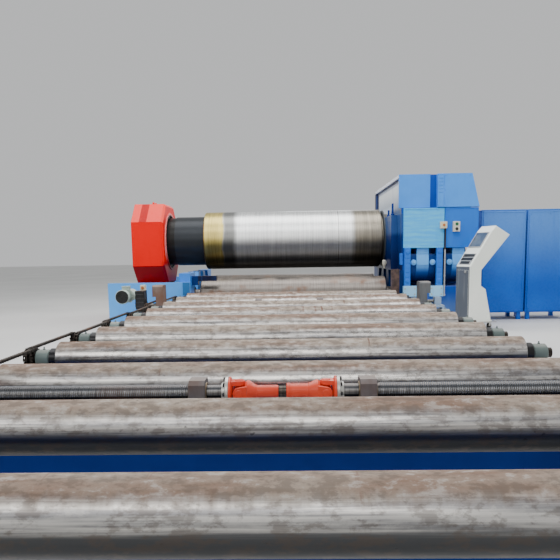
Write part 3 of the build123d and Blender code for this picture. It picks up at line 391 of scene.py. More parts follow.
# %% Steel
def steel(name, tone, deep, rough=0.34, metal=0.85, rings=60.0, rust=0.15, rust_tone=(0.20, 0.085, 0.04),
          dust=0.2, zone=None):
    """Bare steel with turning marks, a little rust and settled dust."""
    f = Finish(name, Specular_IOR_Level=0.25)
    marks = f.noise(2.0, 5, (rings, 1.0, 1.0), 0.7)
    cloud = f.noise(3.2, 5)
    f.colour = f.mix(marks.step(0.3, 0.7), deep, tone)
    if zone:
        zone(f)
    stain = cloud.step(0.62 - 0.3 * rust, 0.80 - 0.2 * rust) * min(1.0, rust * 2.2)
    settled = f.up.step(0.6, 0.98) * (cloud.step(0.2, 0.7) * dust)
    f.tint(stain, rust_tone, settled, dust_tone)
    cover = stain.math("MAXIMUM", settled)
    return f.close(marks + cloud, 0.12, 0.0008, f.rounded(0.002)[0], Base_Color=f.colour,
                   Metallic=cover.scaled(-metal, metal), Roughness=cover.scaled(0.4, cloud.scaled(0.2, rough - 0.1)))


def screw_reflection_and_shade_zone(f):
    """A screw is bright only along a strip: its top is painted dark as the reflection of a dark roof, and its underside
    is painted black as shade.
    """
    f.tint(f.z.step(0.496, 0.510) * 0.85, (0.055, 0.060, 0.070), f.z.step(0.484, 0.474), (0.006, 0.006, 0.007))


roll_steel = steel("worn_roll_steel", (0.22, 0.20, 0.18), (0.12, 0.105, 0.095), dust=0.45, rust=0.35)
chock_steel = steel("bearing_block_steel", (0.018, 0.017, 0.018), (0.010, 0.010, 0.011), 0.6, 0.1, rust=0.1, dust=0.0)
screw_steel = steel("greased_screw_steel", (0.50, 0.52, 0.55), (0.13, 0.135, 0.145), 0.26, 0.9, rust=0.0, dust=0.0,
                    zone=screw_reflection_and_shade_zone)
shaft_brown = steel("oily_shaft_steel", (0.12, 0.10, 0.085), (0.05, 0.042, 0.036), 0.34, 0.7, rust=0.3, dust=0.3)
core_steel = steel("plain_shaft_steel", (0.30, 0.29, 0.28), (0.12, 0.115, 0.11), 0.34, 0.75, dust=0.3, zone=screw_reflection_and_shade_zone)
ring_steel = steel("neck_ring_steel", (0.09, 0.105, 0.12), (0.05, 0.06, 0.07), 0.5, 0.5, rust=0.0, dust=0.3)
zinc = steel("zinc_plated_steel", (0.62, 0.61, 0.57), (0.48, 0.47, 0.44), 0.34, 0.7, 3, 0.05, dust=0.05)
bolt_black = steel("blackened_bolt_steel", (0.055, 0.055, 0.058), (0.03, 0.03, 0.032), 0.42, 0.6, 3, 0.1)
chain_brown = steel("oiled_chain_steel", (0.075, 0.06, 0.05), (0.03, 0.025, 0.022), 0.38, 0.6, 4, 0.25)
pusher_rust = steel("rusty_pusher_steel", (0.26, 0.19, 0.16), (0.15, 0.105, 0.085), 0.62, 0.25, 3, 0.8,
                    (0.19, 0.10, 0.07), 0.5)
block_rust = steel("rusty_block_steel", (0.22, 0.20, 0.205), (0.12, 0.108, 0.112), 0.6, 0.3, 3, 0.5,
                   (0.13, 0.085, 0.075), 0.5)
pusher_grey = steel("grey_pusher_steel", (0.150, 0.158, 0.168), (0.090, 0.095, 0.102), 0.62, 0.25, 3, 0.4,
                    (0.14, 0.10, 0.08), 0.5)
bronze = steel("bush_bronze", (0.24, 0.18, 0.11), (0.15, 0.11, 0.07), 0.4, 0.8, rust=0.2)
print("steels made")

# %% [markdown]
# ## The table rollers
# Each barrel is a bright tube whose top has gathered dust and light rust, since the table stands still while
# plates are bent. The dirty strip belongs to the roller and turns with it, so the finish finds the height
# above the roller's own axis in the mesh's coordinates.

# %% Roller finish
first_low, first_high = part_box("table_roller_1")
roller_axis = (first_low.z + first_high.z) / 2
roller_radius = (first_high.z - first_low.z) / 2
roller_rows = [(sum(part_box(f"table_roller_{n}")[k].y for k in (0, 1))) / 2 for n in range(1, 11)]
bay_middles = [(y0 + y1) / 2 for y0, y1 in zip(roller_rows, roller_rows[1:])]
barrel_end, ring_end, hub_start, shaft_end = 1.600, 1.660, 1.764, 1.9


def roller_finish():
    """A dusty brown top, a polished band below it, a lower half painted dark as shade and nearly black underneath, and
    dark rings and sprockets.
    """
    f = Finish("table_roller_steel", Specular_IOR_Level=0.15)
    height = f.z.scaled(1 / roller_radius, -roller_axis / roller_radius)
    patches = f.noise(0.9, 6, (1.0, 4.0, 4.0), 0.62)
    drips = f.noise(3.0, 4, (9.0, 0.8, 0.8), 0.6)
    scratch = f.noise(7.0, 4, (0.2, 9.0, 9.0), 0.6)
    blotches = f.noise(13.0, 5, (1.0, 1.8, 1.8), 0.68)
    pits = f.noise(38.0, 2, (0.7, 1.0, 1.0), 0.5).step(0.70, 0.76) * patches.step(0.50, 0.62)
    low = height + scratch.scaled(0.2, -0.1)
    top = (height + patches.scaled(0.5, -0.25) + drips.scaled(0.30, -0.15)).step(0.46, 0.82)
    dusty = f.mix(patches.step(0.35, 0.62), (0.200, 0.112, 0.072), (0.335, 0.275, 0.220))
    dusty = f.mix(drips.step(0.60, 0.72) * patches.step(0.42, 0.6), dusty, (0.150, 0.058, 0.030))
    away = f.x.math("ABSOLUTE")
    f.colour = f.mix(scratch.step(0.35, 0.65), (0.30, 0.295, 0.30), (0.74, 0.71, 0.67))
    # Painted shade: darker below the barrel's middle and nearly black underneath; it turns with the roller.
    f.tint(low.step(0.30, -0.15), (0.072, 0.074, 0.078), low.step(-0.35, -0.80), (0.022, 0.023, 0.025),
           top * 0.92, dusty, blotches.step(0.48, 0.60) * 0.50, (0.105, 0.082, 0.068),
           blotches.step(0.46, 0.36) * low.step(-0.10, 0.35) * 0.35, (0.62, 0.60, 0.57),
           pits * 0.7, (0.045, 0.040, 0.038), away.between(barrel_end, ring_end, 0.0005), (0.035, 0.035, 0.036),
           away.between(hub_start, shaft_end, 0.0005), (0.040, 0.034, 0.030))
    return f.close(scratch + drips, 0.1, 0.0008, Base_Color=f.colour, Metallic=top.scaled(-0.85, 0.90),
                   Roughness=top.scaled(0.50, patches.scaled(0.25, 0.17)))


roller_steel = roller_finish()
print("roller axis at", round(roller_axis, 3), "rows:", [round(y, 3) for y in roller_rows])

# %% [markdown]
# ## The upper roll
# Its barrel is polished by plate in the middle, and yellowed by a coat of preserving oil near both ends.
# The neck on the drop side is black. The bands follow the distance along the roll.

# %% Upper roll finish
upper_axis, upper_radius = 1.375, 0.4925
barrel_left, groove_start = -1.478, -1.980


def upper_roll_finish():
    """Polished barrel with oiled bands, a thin dark line and a black neck; the lower half is painted dark as shade, and
    the neck's end in the yoke near black as its shadow.
    """
    f = Finish("upper_roll_steel", Specular_IOR_Level=0.25)
    height = f.z.scaled(1 / upper_radius, -upper_axis / upper_radius)
    rings = f.noise(2.0, 6, (26.0, 0.6, 0.6), 0.7)
    ringed = rings.step(0.3, 0.7)
    along = f.x + f.noise(3.0, 4, (0.5, 1.0, 1.0)).scaled(0.10, -0.05)
    f.colour = f.mix(ringed, (0.60, 0.61, 0.61), (0.84, 0.85, 0.84))
    f.tint(along.between(-1.16, -0.94, 0.05) * 0.85, (0.11, 0.11, 0.102),
           along.between(-1.7, -1.15, 0.02) * 0.9, f.mix(ringed, (0.33, 0.24, 0.03), (0.66, 0.52, 0.11)),
           along.between(1.06, 1.7, 0.06) * 0.85, f.mix(ringed, (0.12, 0.095, 0.055), (0.25, 0.21, 0.14)),
           f.x.between(0.806, 0.814, 0.003), (0.16, 0.16, 0.16))
    # Painted shade: the lower half is darkened, nearly black at the bottom.
    shade = f.mix(height.step(-0.35, -0.98), (0.40, 0.42, 0.45), (0.045, 0.045, 0.045))
    black = f.x.step(barrel_left, barrel_left - 0.002)
    # Painted shadow: the neck's end past groove_start, in the yoke's opening, is near black.
    f.tint(height.step(0.05, -0.22), f.mix(1.0, f.colour, shade, "MULTIPLY"), black, (0.024, 0.028, 0.033),
           f.x.step(groove_start, groove_start - 0.002), (0.012, 0.013, 0.012))
    return f.close(rings, 0.10, 0.001, Base_Color=f.colour, Metallic=black.scaled(-0.5, 0.9),
                   Roughness=rings.scaled(0.18, 0.26))


upper_steel = upper_roll_finish()
print("upper roll finish made")

# %% [markdown]
# ## Giving the solids their finishes
# A solid whose shape is right stays, and only its material slots change.

# %% Finishes of the solids
for material, names in (
        (upper_steel, "upper_roll"), (roll_steel, "lower_roll front_side_roll rear_side_roll"),
        (yoke_red, "tilting_yoke"), (bronze, "yoke_bush"), (plate_blue, "drop_end_frame"),
        (guide_blue, "roll_guides"), (housing_blue, "drive_side_base fixed_housing"),
        (cover_blue, "housing_covers"), (casting_blue, "swing_castings"), (strap_blue, "clevis_straps"),
        (beam_blue, "machine_bed table_side_beams table_cross_beams"),
        (chock_steel, "roll_bearing_blocks front_roll_carriers"), (block_rust, "screw_bearing_blocks"),
        (stand_blue, "screw_pedestals"), (cabinet_blue, "electric_cabinets"), (console_cream, "console_body"),
        (pusher_rust, "near_pusher_left far_pusher_left"), (pusher_grey, "near_pusher_right far_pusher_right"),
        (roller_steel, " ".join(f"table_roller_{number}" for number in range(1, 11)))):
    for name in names.split():
        for holder in nodes[name].material_slots:
            holder.material = material
print("solids finished")

# %% [markdown]
# ## Making meshes
# Shapes are drawn with three moves: a block, a turned profile and an extruded outline. A piece is a list of
# moves with their values, and a matrix says where each lies. A bevel breaks the edges, as no real edge is sharp.

# %% Moves
sides = (-1, 1)
here = Matrix.Identity(4)
along_x = Matrix(((0, 0, 1), (1, 0, 0), (0, 1, 0))).to_4x4()
to_front = Matrix(((1, 0, 0), (0, 0, -1), (0, 1, 0))).to_4x4()
flip_z = rotated(180, "X")


def at(place, turn=here):
    """A matrix that moves to a place, after an optional turn."""
    return Matrix.Translation(place) @ turn


def rod(start, end, radius):
    """The profile of a plain rod."""
    return [(start, 0.0), (start, radius), (end, radius), (end, 0.0)]


def mirrored(half):
    """Half an outline, followed by its mirror image."""
    return half + [(-u, v) for u, v in reversed(half)]


def block(bm, low, high, place=here):
    """A box between two corners."""
    low, high = Vector(low), Vector(high)
    scale = Matrix.Diagonal((*(high - low), 1))
    bmesh.ops.create_cube(bm, size=1, matrix=place @ Matrix.Translation((low + high) / 2) @ scale)


def turned(bm, profile, place, segments=40, ring=False):
    """Turns a profile of (height, radius) round the local Z axis; a ring's last point joins its first."""
    rows = []
    for height, radius in profile:
        angles = [2 * pi * k / segments for k in range(segments)] if radius > 1e-6 else [0.0]
        rows.append([bm.verts.new(place @ Vector((radius * cos(a), radius * sin(a), height))) for a in angles])
    for lower, upper in list(zip(rows, rows[1:])) + [(rows[-1], rows[0])] * ring:
        for k in range(segments):
            corners = [row[j % len(row)] for row, j in ((lower, k), (lower, k + 1), (upper, k + 1), (upper, k))]
            distinct = list(dict.fromkeys(corners))
            if len(distinct) > 2:
                bm.faces.new(distinct)
    for row in (rows[0], rows[-1]):
        if len(row) > 1 and not ring:
            bm.faces.new(row)


def extruded(bm, outline, place, start, end):
    """Extrudes an outline in the local XY plane from one height to another."""
    bottom, top = ([bm.verts.new(place @ Vector((u, v, height))) for u, v in outline] for height in (start, end))
    bm.faces.new(bottom)
    bm.faces.new(top)
    for k in range(len(outline)):
        bm.faces.new([bottom[k - 1], bottom[k], top[k], top[k - 1]])


# %% Pieces
sharp = radians(32)


def drawn(name, material, *moves, bevel=0.0):
    """Carries out moves, each given with its values, and returns a smooth object with broken edges."""
    bm = bmesh.new()
    for move, *values in moves:
        move(bm, *values)
    bmesh.ops.recalc_face_normals(bm, faces=bm.faces)
    mesh = bpy.data.meshes.new(name)
    bm.to_mesh(mesh)
    bm.free()
    mesh.materials.append(material)
    mesh.shade_smooth()
    mesh.set_sharp_from_angle(angle=sharp)
    thing = new_object(name, mesh)
    if bevel:
        edge = thing.modifiers.new("broken_edges", "BEVEL")
        edge.width, edge.segments, edge.limit_method = bevel, 2, "ANGLE"
        edge.angle_limit, edge.harden_normals = sharp, True
    return thing


def placed(thing, slot, body="machine", replaces=None):
    """Lets a piece ride on its body and hides the solid that it stands for; slot is not used."""
    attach(thing, body)
    if replaces:
        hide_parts(replaces)
    print(thing.name, "with", len(thing.data.polygons), "faces")


def make(name, material, slot, *moves, bevel=0.0, **holding):
    """Draws a piece and places it in one go."""
    placed(drawn(name, material, *moves, bevel=bevel), slot, **holding)


def remove_templates(*things):
    """A template is only copied from, so it leaves the scene when its copies are made."""
    for thing in things:
        bpy.data.objects.remove(thing)


# %% Floor
floor = Finish("pale_floor", Roughness=0.75)
floor.give(Base_Color=floor.mix(floor.noise(0.4, 4).step(0.3, 0.7), (0.60, 0.60, 0.585), (0.68, 0.68, 0.665)))
drawn("studio_floor", floor.material,
               (lambda bm: bmesh.ops.create_grid(bm, x_segments=1, y_segments=1, size=60),))
print("floor laid")

# %% [markdown]
# ## Geometry Nodes for what repeats
# Bolts, bearings, chain links, cooling fins and threads repeat by a rule, so each rule is a node tree with
# named inputs. The result is realized into one plain mesh for each body.

# %% Geometry node helpers
def new_tree(name, *inputs):
    """An empty geometry tree with a material and more inputs, given as (label, kind, value)."""
    tree = bpy.data.node_groups.new(name, "GeometryNodeTree")
    for direction in ("INPUT", "OUTPUT"):
        tree.interface.new_socket("Geometry", in_out=direction, socket_type="NodeSocketGeometry")
    for label, kind, value in (("Material", "Material", None), *inputs):
        socket = tree.interface.new_socket(label, in_out="INPUT", socket_type="NodeSocket" + kind)
        if value is not None:
            socket.default_value = value
    return tree, {socket.name: socket for socket in tree.nodes.new("NodeGroupInput").outputs}


def put_copies(tree, points, template, turn=None, chosen=None):
    """Copies of a template object on points."""
    shape = put(tree, "GeometryNodeObjectInfo", template).outputs["Geometry"]
    return put(tree, "GeometryNodeInstanceOnPoints", points, chosen, shape, Rotation=turn)


def put_turns(tree, count):
    """The turn of each copy round Z, so that all of them make a full circle."""
    share = put(tree, "ShaderNodeMath", 2 * pi, count, operation="DIVIDE")
    angle = put(tree, "ShaderNodeMath", put(tree, "GeometryNodeInputIndex"), share, operation="MULTIPLY")
    return put(tree, "FunctionNodeAxisAngleToRotation", (0, 0, 1), angle)


def end_tree(tree, geometry, material):
    """Realizes what the tree made, sets its material, and hands it out."""
    real = put(tree, "GeometryNodeRealizeInstances", geometry)
    put(tree, "NodeGroupOutput", put(tree, "GeometryNodeSetMaterial", real, None, material))
    print(tree.name, "has", len(tree.nodes), "nodes")


def run_tree(tree, mesh=None, **values):
    """Runs a tree on a mesh, or on nothing, and returns what it realized as a plain mesh."""
    host = new_object("rule_host", mesh or bpy.data.meshes.new("nothing"))
    rule = host.modifiers.new("rule", "NODES")
    rule.node_group = tree
    for item in tree.interface.items_tree:
        label = item.name.replace(" ", "_")
        if item.in_out == "INPUT" and label in values:
            rule[item.identifier] = values[label]
    realized = bpy.data.meshes.new_from_object(host.evaluated_get(bpy.context.evaluated_depsgraph_get()))
    host.modifiers.remove(rule)
    bpy.data.objects.remove(host)
    return realized


def join(name, material, parts, slot="dark_metal", **holding):
    """Joins realized meshes, each given with its place, into one piece."""
    bm = bmesh.new()
    for part, place in parts:
        part.transform(place)
        bm.from_mesh(part)
        bpy.data.meshes.remove(part)
    mesh = bpy.data.meshes.new(name)
    bm.to_mesh(mesh)
    bm.free()
    mesh.materials.append(material)
    placed(new_object(name, mesh), slot, **holding)


# %% Copies at points
copies_tree, given = new_tree("copies_at_points", ("Template", "Object", None), ("Twist", "Float", 0.0),
                              ("Seed", "Int", 4))
stored = put(copies_tree, "GeometryNodeInputNamedAttribute", "turn", data_type="FLOAT_VECTOR")
chance = put(copies_tree, "FunctionNodeRandomValue", None, None, None, given["Twist"], data_type="FLOAT",
             Seed=given["Seed"])
twist = put(copies_tree, "FunctionNodeAxisAngleToRotation", (0, 0, 1), chance.outputs[1])
turning = put(copies_tree, "FunctionNodeRotateRotation", put(copies_tree, "FunctionNodeEulerToRotation", stored), twist,
              rotation_space="LOCAL")
end_tree(copies_tree, put_copies(copies_tree, given["Geometry"], given["Template"], turning), given["Material"])
up, to_camera = (0, 0, 1), (0, -1, 0)


def copies_at(name, template, points, slot="dark_metal", facing=up, material=None, twist=1.0, **holding):
    """Copies of a template at points, as one piece; a twist turns each by chance."""
    mesh = bpy.data.meshes.new("points")
    mesh.from_pydata(points, [], [])
    for item in mesh.attributes.new("turn", "FLOAT_VECTOR", "POINT").data:
        item.vector = Vector(facing).to_track_quat("Z", "Y").to_euler()
    mesh = run_tree(copies_tree, mesh, Template=template, Material=material or template.data.materials[0], Twist=twist)
    mesh.name = name
    placed(new_object(name, mesh), slot, **holding)


# %% Copies round a circle
ring_tree, given = new_tree("copies_in_a_ring", ("Template", "Object", None), ("Count", "Int", 6),
                            ("Radius", "Float", 0.05))
circle = put(ring_tree, "GeometryNodeMeshCircle", given["Count"], given["Radius"])
end_tree(ring_tree, put_copies(ring_tree, circle, given["Template"], put_turns(ring_tree, given["Count"])),
         given["Material"])


def rings_at(name, template, count, radius, places, slot="dark_metal", material=None, **holding):
    """Rings of copies at several places, joined into one piece."""
    material = material or template.data.materials[0]
    join(name, material, [(run_tree(ring_tree, Template=template, Material=material, Count=count, Radius=radius), place)
                          for place in places], slot, **holding)


# %% [markdown]
# ## A hexagon bolt
# One bolt with its washer serves the whole machine at a few sizes. Its underside is the origin and its head
# points along Z, so a direction is enough to place it.

# %% Bolt templates
def bolt_template(size):
    """A hexagon head on a washer, for a bolt of the given size across its thread."""
    washer, half, top = 0.14 * size, 0.85 * size, 0.78 * size
    return drawn(f"bolt_template_{round(size * 1000)}", zinc,
                 (turned, [(-0.001, size), (washer, size), (washer, 0)], here, 20),
                 (turned, [(0.12 * size, half), (0.62 * size, half), (top, 0.68 * size), (top, 0)], here, 6))


small_bolt, flange_bolt, frame_bolt, anchor_bolt = (bolt_template(size) for size in (0.008, 0.012, 0.020, 0.036))
print("bolt templates made")

# %% [markdown]
# ## Pillow block bearings
# Each roller runs in two cast bearings: a round housing on a web and a foot, with a grease nipple on top and
# two bolts through the foot. One is drawn round the shaft's axis, and copied to twenty places.

# %% Bearings
bearing_middle = 1.713
foot_outline = mirrored([(0.140, -0.092), (0.140, -0.070), (0.128, -0.064), (0.082, -0.062), (0.056, -0.030)])
bearing = drawn("bearing_template", bearing_green, (extruded, foot_outline, along_x, -0.040, 0.040),
                (turned, mirrored([(-0.049, 0.040), (-0.049, 0.053), (-0.041, 0.062)]), along_x, 36, True),
                (turned, [(0.058, 0.009), (0.068, 0.009), (0.070, 0.005), (0.080, 0.005), (0.082, 0.0)], here, 10),
                *[(turned, [(-0.066, 0.024), (-0.060, 0.021), (-0.060, 0)], at((0, side * 0.108, 0)), 16)
                  for side in sides], bevel=0.003)
seal = drawn("seal_template", rubber_black, *[
    (turned, [(side * 0.039, 0.0356), (side * 0.039, 0.041), (side * 0.0505, 0.041), (side * 0.052, 0.0356)], along_x,
     28, True) for side in sides])
spots = [(side * bearing_middle, y, roller_axis) for side in sides for y in roller_rows]
copies_at("pillow_bearings", bearing, spots, "grey_green", twist=0.0, replaces="roller_bearings")
copies_at("bearing_seals", seal, spots, twist=0.0)
copies_at("bearing_bolts", flange_bolt, [(x, y + step, z - 0.061) for x, y, z in spots for step in (-0.108, 0.108)])
remove_templates(bearing, seal)

# %% [markdown]
# ## The drive chain
# Every roller but the last drives the next one through a loop of roller chain. The loops sit in two rows
# by turns, so that two sprockets fit side by side. A loop is a curve; the tree walks along it at the chain's
# pitch and sets outer and inner plates by turns. Rollers show only between the sprockets.

# %% Chain tree
tree, given = new_tree("chain_along_a_loop", ("Even Link", "Object", None), ("Odd Link", "Object", None),
                       ("Links", "Int", 72))
track = put(tree, "GeometryNodeMeshToCurve", given["Geometry"])
paced = put(tree, "GeometryNodeResampleCurve", track, None, given["Links"])
turning = put(tree, "FunctionNodeAlignRotationToVector", None, None, put(tree, "GeometryNodeInputTangent"), axis="Y",
              pivot_axis="X")
parity = put(tree, "ShaderNodeMath", put(tree, "GeometryNodeInputIndex"), 2.0, operation="MODULO")
both = put(tree, "GeometryNodeJoinGeometry")
for label, operation in (("Even Link", "LESS_THAN"), ("Odd Link", "GREATER_THAN")):
    chosen = put(tree, "ShaderNodeMath", parity, 0.5, operation=operation)
    fill(both.inputs[0], put_copies(tree, paced, given[label], turning, chosen))
end_tree(tree, both, given["Material"])

# %% Chain links
chain_pitch = 0.0294
joint, wide, waist = chain_pitch / 2, 0.0105, 0.0075
upper_edge = [(-joint - wide, 0), (-joint - 0.007, wide * 0.8), (-joint, wide), (0, waist), (joint, wide),
              (joint + 0.007, wide * 0.8)]
plate_outline = upper_edge + [(-u, -v) for u, v in upper_edge]


def link_template(name, near, far):
    """A pair of waisted side plates at a distance from the middle of the chain, with the ends of the pins."""
    return drawn(name, chain_brown, *[(extruded, plate_outline, along_x, side * near, side * far) for side in sides],
                 *[(turned, [(side * far, 0.0042), (side * (far + 0.0012), 0.0042)], at((0, y, 0), along_x), 8)
                   for side in sides for y in (-joint, joint)])


outer_link = link_template("outer_link_template", 0.0112, 0.0134)
inner_link = link_template("inner_link_template", 0.0088, 0.0108)
chain_roller = drawn("chain_roller_template", chain_brown, (turned, [(-0.009, 0.0085), (0.009, 0.0085)], here, 10))

# %% Chain loops
half_bay, arc_steps = 0.425, 24
strands, spots = [], []
for loop, middle in enumerate(bay_middles):
    row = 1.780 if loop % 2 == 0 else 1.822
    radius = 0.088 if loop in (1, 7) else 0.066
    path = []
    for side in (1, -1):
        for k in range(arc_steps + 1):
            a = side * pi / 2 - pi * k / arc_steps
            path.append((-row, middle + side * half_bay + radius * cos(a), roller_axis + radius * sin(a)))
    mesh = bpy.data.meshes.new("chain_path")
    mesh.from_pydata(path, [(k, (k + 1) % len(path)) for k in range(len(path))], [])
    links = 2 * round((4 * half_bay + 2 * pi * radius) / chain_pitch / 2)
    strands.append((run_tree(tree, mesh, Even_Link=outer_link, Odd_Link=inner_link, Material=chain_brown, Links=links),
                    here))
    spots += [(-row, middle + k * chain_pitch, roller_axis + side * radius) for k in range(-12, 13) for side in sides]
join("roller_chains", chain_brown, strands, replaces="drive_chain")
copies_at("chain_rollers", chain_roller, spots, facing=(1, 0, 0), twist=0.0)
remove_templates(outer_link, inner_link, chain_roller)

# %% [markdown]
# ## The centring screws
# Two long screws drive four pushers that centre a plate before it enters the rolls. The thread has four
# starts, so one turn moves a pusher by 40 mm while the ridges stand 10 mm apart. A spiral curve swept with a
# trapezium gives one start, and the tree turns it into four.

# %% Thread tree
tree, given = new_tree("thread_on_a_core", ("Length", "Float", 1.2), ("Lead", "Float", 0.04),
                       ("Radius", "Float", 0.037), ("Starts", "Int", 4), ("Crest", "Float", 0.0034),
                       ("Root", "Float", 0.0066), ("Depth", "Float", 0.004))
turns = put(tree, "ShaderNodeMath", given["Length"], given["Lead"], operation="DIVIDE")
spiral = put(tree, "GeometryNodeCurveSpiral", 22, turns, given["Radius"], given["Radius"], given["Length"])
upright = put(tree, "GeometryNodeSetCurveNormal", spiral, mode="Z_UP")
section = put(tree, "GeometryNodeCurvePrimitiveQuadrilateral", mode="TRAPEZOID", Offset=0, Bottom_Width=given["Root"],
              Top_Width=given["Crest"], Height=given["Depth"])
stand = put(tree, "GeometryNodeTransform", section, Rotation=(0, 0, radians(90)))
swept = put(tree, "GeometryNodeCurveToMesh", upright, stand, Fill_Caps=True)
starts = put(tree, "GeometryNodePoints", given["Starts"])
copies = put(tree, "GeometryNodeInstanceOnPoints", starts, None, swept, Rotation=put_turns(tree, given["Starts"]))
end_tree(tree, copies, given["Material"])

# %% Screws
near_low, near_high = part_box("near_screws")
near_y, screw_z = (near_low.y + near_high.y) / 2, (near_low.z + near_high.z) / 2
far_y = sum(corner.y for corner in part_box("far_screws")) / 2
screw_lines = (near_y, far_y)
screw_middle, thread_reach, thread_end = -0.023, 0.4565, 1.775
core_radius, end_radius = 0.0372, 0.022
for line, y, inner in (("near", near_y, 0.280), ("far", far_y, 0.0)):
    make(f"{line}_screw_cores", core_steel, "dark_metal", *[
        (turned, [(screw_middle + side * inner, 0), (screw_middle + side * inner, 0.035),
                  (screw_middle + side * thread_reach, 0.035), (screw_middle + side * thread_reach, core_radius),
                  (side * thread_end, core_radius), (side * thread_end, end_radius), (side * 1.957, end_radius),
                  (side * 1.960, 0.019), (side * 1.960, 0)], at((0, y, screw_z), along_x), 32)
        for side in sides], body=f"{line}_screw_line", replaces=f"{line}_screws")
for line, y in (("near", near_y), ("far", far_y)):
    threads = []
    for side in sides:
        start, end = sorted((screw_middle + side * thread_reach, side * thread_end))
        threads.append((run_tree(tree, Material=screw_steel, Length=end - start - 0.006),
                        at((start + 0.003, y, screw_z), along_x)))
    join(f"{line}_screw_threads", screw_steel, threads, body=f"{line}_screw_line")

# %% [markdown]
# ## The cardan shaft
# A red cardan shaft joins the two halves of the near screw, so that they turn together although they are
# never quite in line. At each end two forks hold a cross at right angles. One fork is bolted to the screw's
# pale flange, the other is welded to the tube or to the sliding sleeve.

# %% Cardan forks
fork_length = 0.050
joints = ((screw_middle - 0.209, -1), (screw_middle + 0.209, 1))
near_axis = at((0, near_y, screw_z), along_x)
ear = [(0, -0.035), (0.022, -0.0322), *[(0.040 + 0.029 * sin(pi * k / 8), -0.029 * cos(pi * k / 8)) for k in range(9)],
       (0.022, 0.0322), (0, 0.035)]


def fork(base, direction, turn):
    """Two ears that reach from a base towards the joint's centre."""
    place = at((base, near_y, screw_z), rotated(turn, "X") @ rotated(0 if direction > 0 else 180, "Z"))
    return [(extruded, ear, place, side * 0.034, side * 0.056) for side in sides]


flanges, forks, crosses = [], [], []
for joint, side in joints:
    face = joint + side * fork_length
    flanges.append((turned, [(face, 0), (face, 0.075), (face + side * 0.014, 0.075), (face + side * 0.016, 0.073),
                             (face + side * 0.016, 0.048), (face + side * 0.034, 0.045), (face + side * 0.034, 0)],
                    near_axis, 48))
    forks += [(turned, [(face, 0), (face, 0.073), (face - side * 0.010, 0.073), (face - side * 0.014, 0.060),
                        (face - side * 0.018, 0.046), (face - side * 0.018, 0)], near_axis, 48),
              *fork(face - side * 0.010, -side, 0), *fork(joint - side * (fork_length - 0.010), side, 90)]
    for place in (at((joint, near_y, screw_z), rotated(turn, "X")) for turn in (0, 90)):
        crosses += [(turned, rod(-0.040, 0.040, 0.016), place, 20),
                    *[(turned, [(end * 0.033, 0), (end * 0.033, 0.0215), (end * 0.058, 0.0215), (end * 0.058, 0.019),
                                (end * 0.0605, 0.0175), (end * 0.0605, 0)], place, 24) for end in sides]]

# %% Cardan tube and sleeve
tube_start, sleeve_end = joints[0][0] + 0.040, joints[1][0] - 0.040
tube = [(tube_start + x, r) for x, r in ((-0.012, 0), (-0.012, 0.046), (0, 0.057), (0.010, 0.054), (0.034, 0.036),
                                         (0.040, 0.035), (0.046, 0.031))]
tube += [(screw_middle + x, r) for x, r in ((-0.026, 0.031), (-0.020, 0.028), (-0.018, 0))]
sleeve = [(screw_middle + x, r) for x, r in ((0.018, 0), (0.018, 0.036), (0.022, 0.040), (0.034, 0.040),
                                             (0.037, 0.037))]
sleeve += [(sleeve_end + x, r) for x, r in ((-0.046, 0.037), (-0.040, 0.041), (-0.034, 0.042), (-0.010, 0.055),
                                            (0, 0.057), (0.012, 0.046), (0.012, 0))]
on_near = {"body": "near_screw_line"}
make("screw_flanges", zinc, "dark_metal", *flanges, bevel=0.0015, **on_near)
make("cardan_forks_and_tube", shaft_red, "cardan_red", *forks, (turned, tube, near_axis, 48),
     (turned, sleeve, near_axis, 48), bevel=0.004, replaces="cardan_shaft", **on_near)
make("cardan_crosses", shaft_red, "cardan_red", *crosses, bevel=0.0015, **on_near)

# %% Cardan splines and bolts
spline_place = at((screw_middle, near_y, screw_z), along_x)
rib = drawn("spline_template", shaft_brown, (block, (-0.004, -0.0035, -0.020), (0.003, 0.0035, 0.020)))
rings_at("cardan_splines", rib, 14, 0.0235, [spline_place], **on_near)
remove_templates(rib)
make("cardan_spline_core", shaft_brown, "dark_metal", (turned, rod(-0.022, 0.022, 0.022), spline_place, 32), **on_near)
rings_at("cardan_bolts", flange_bolt, 8, 0.0615,
         [at((joint + side * (fork_length + 0.016), near_y, screw_z), along_x if side > 0 else along_x @ flip_z)
          for joint, side in joints], material=bolt_black, **on_near)

# %% [markdown]
# ## Gearmotors of the screws
# Each screw is turned by a worm gearbox with a finned motor that points at the camera. Its black fan cover is
# the round dark spot on the left of the photograph. The fins repeat round the motor's axis.

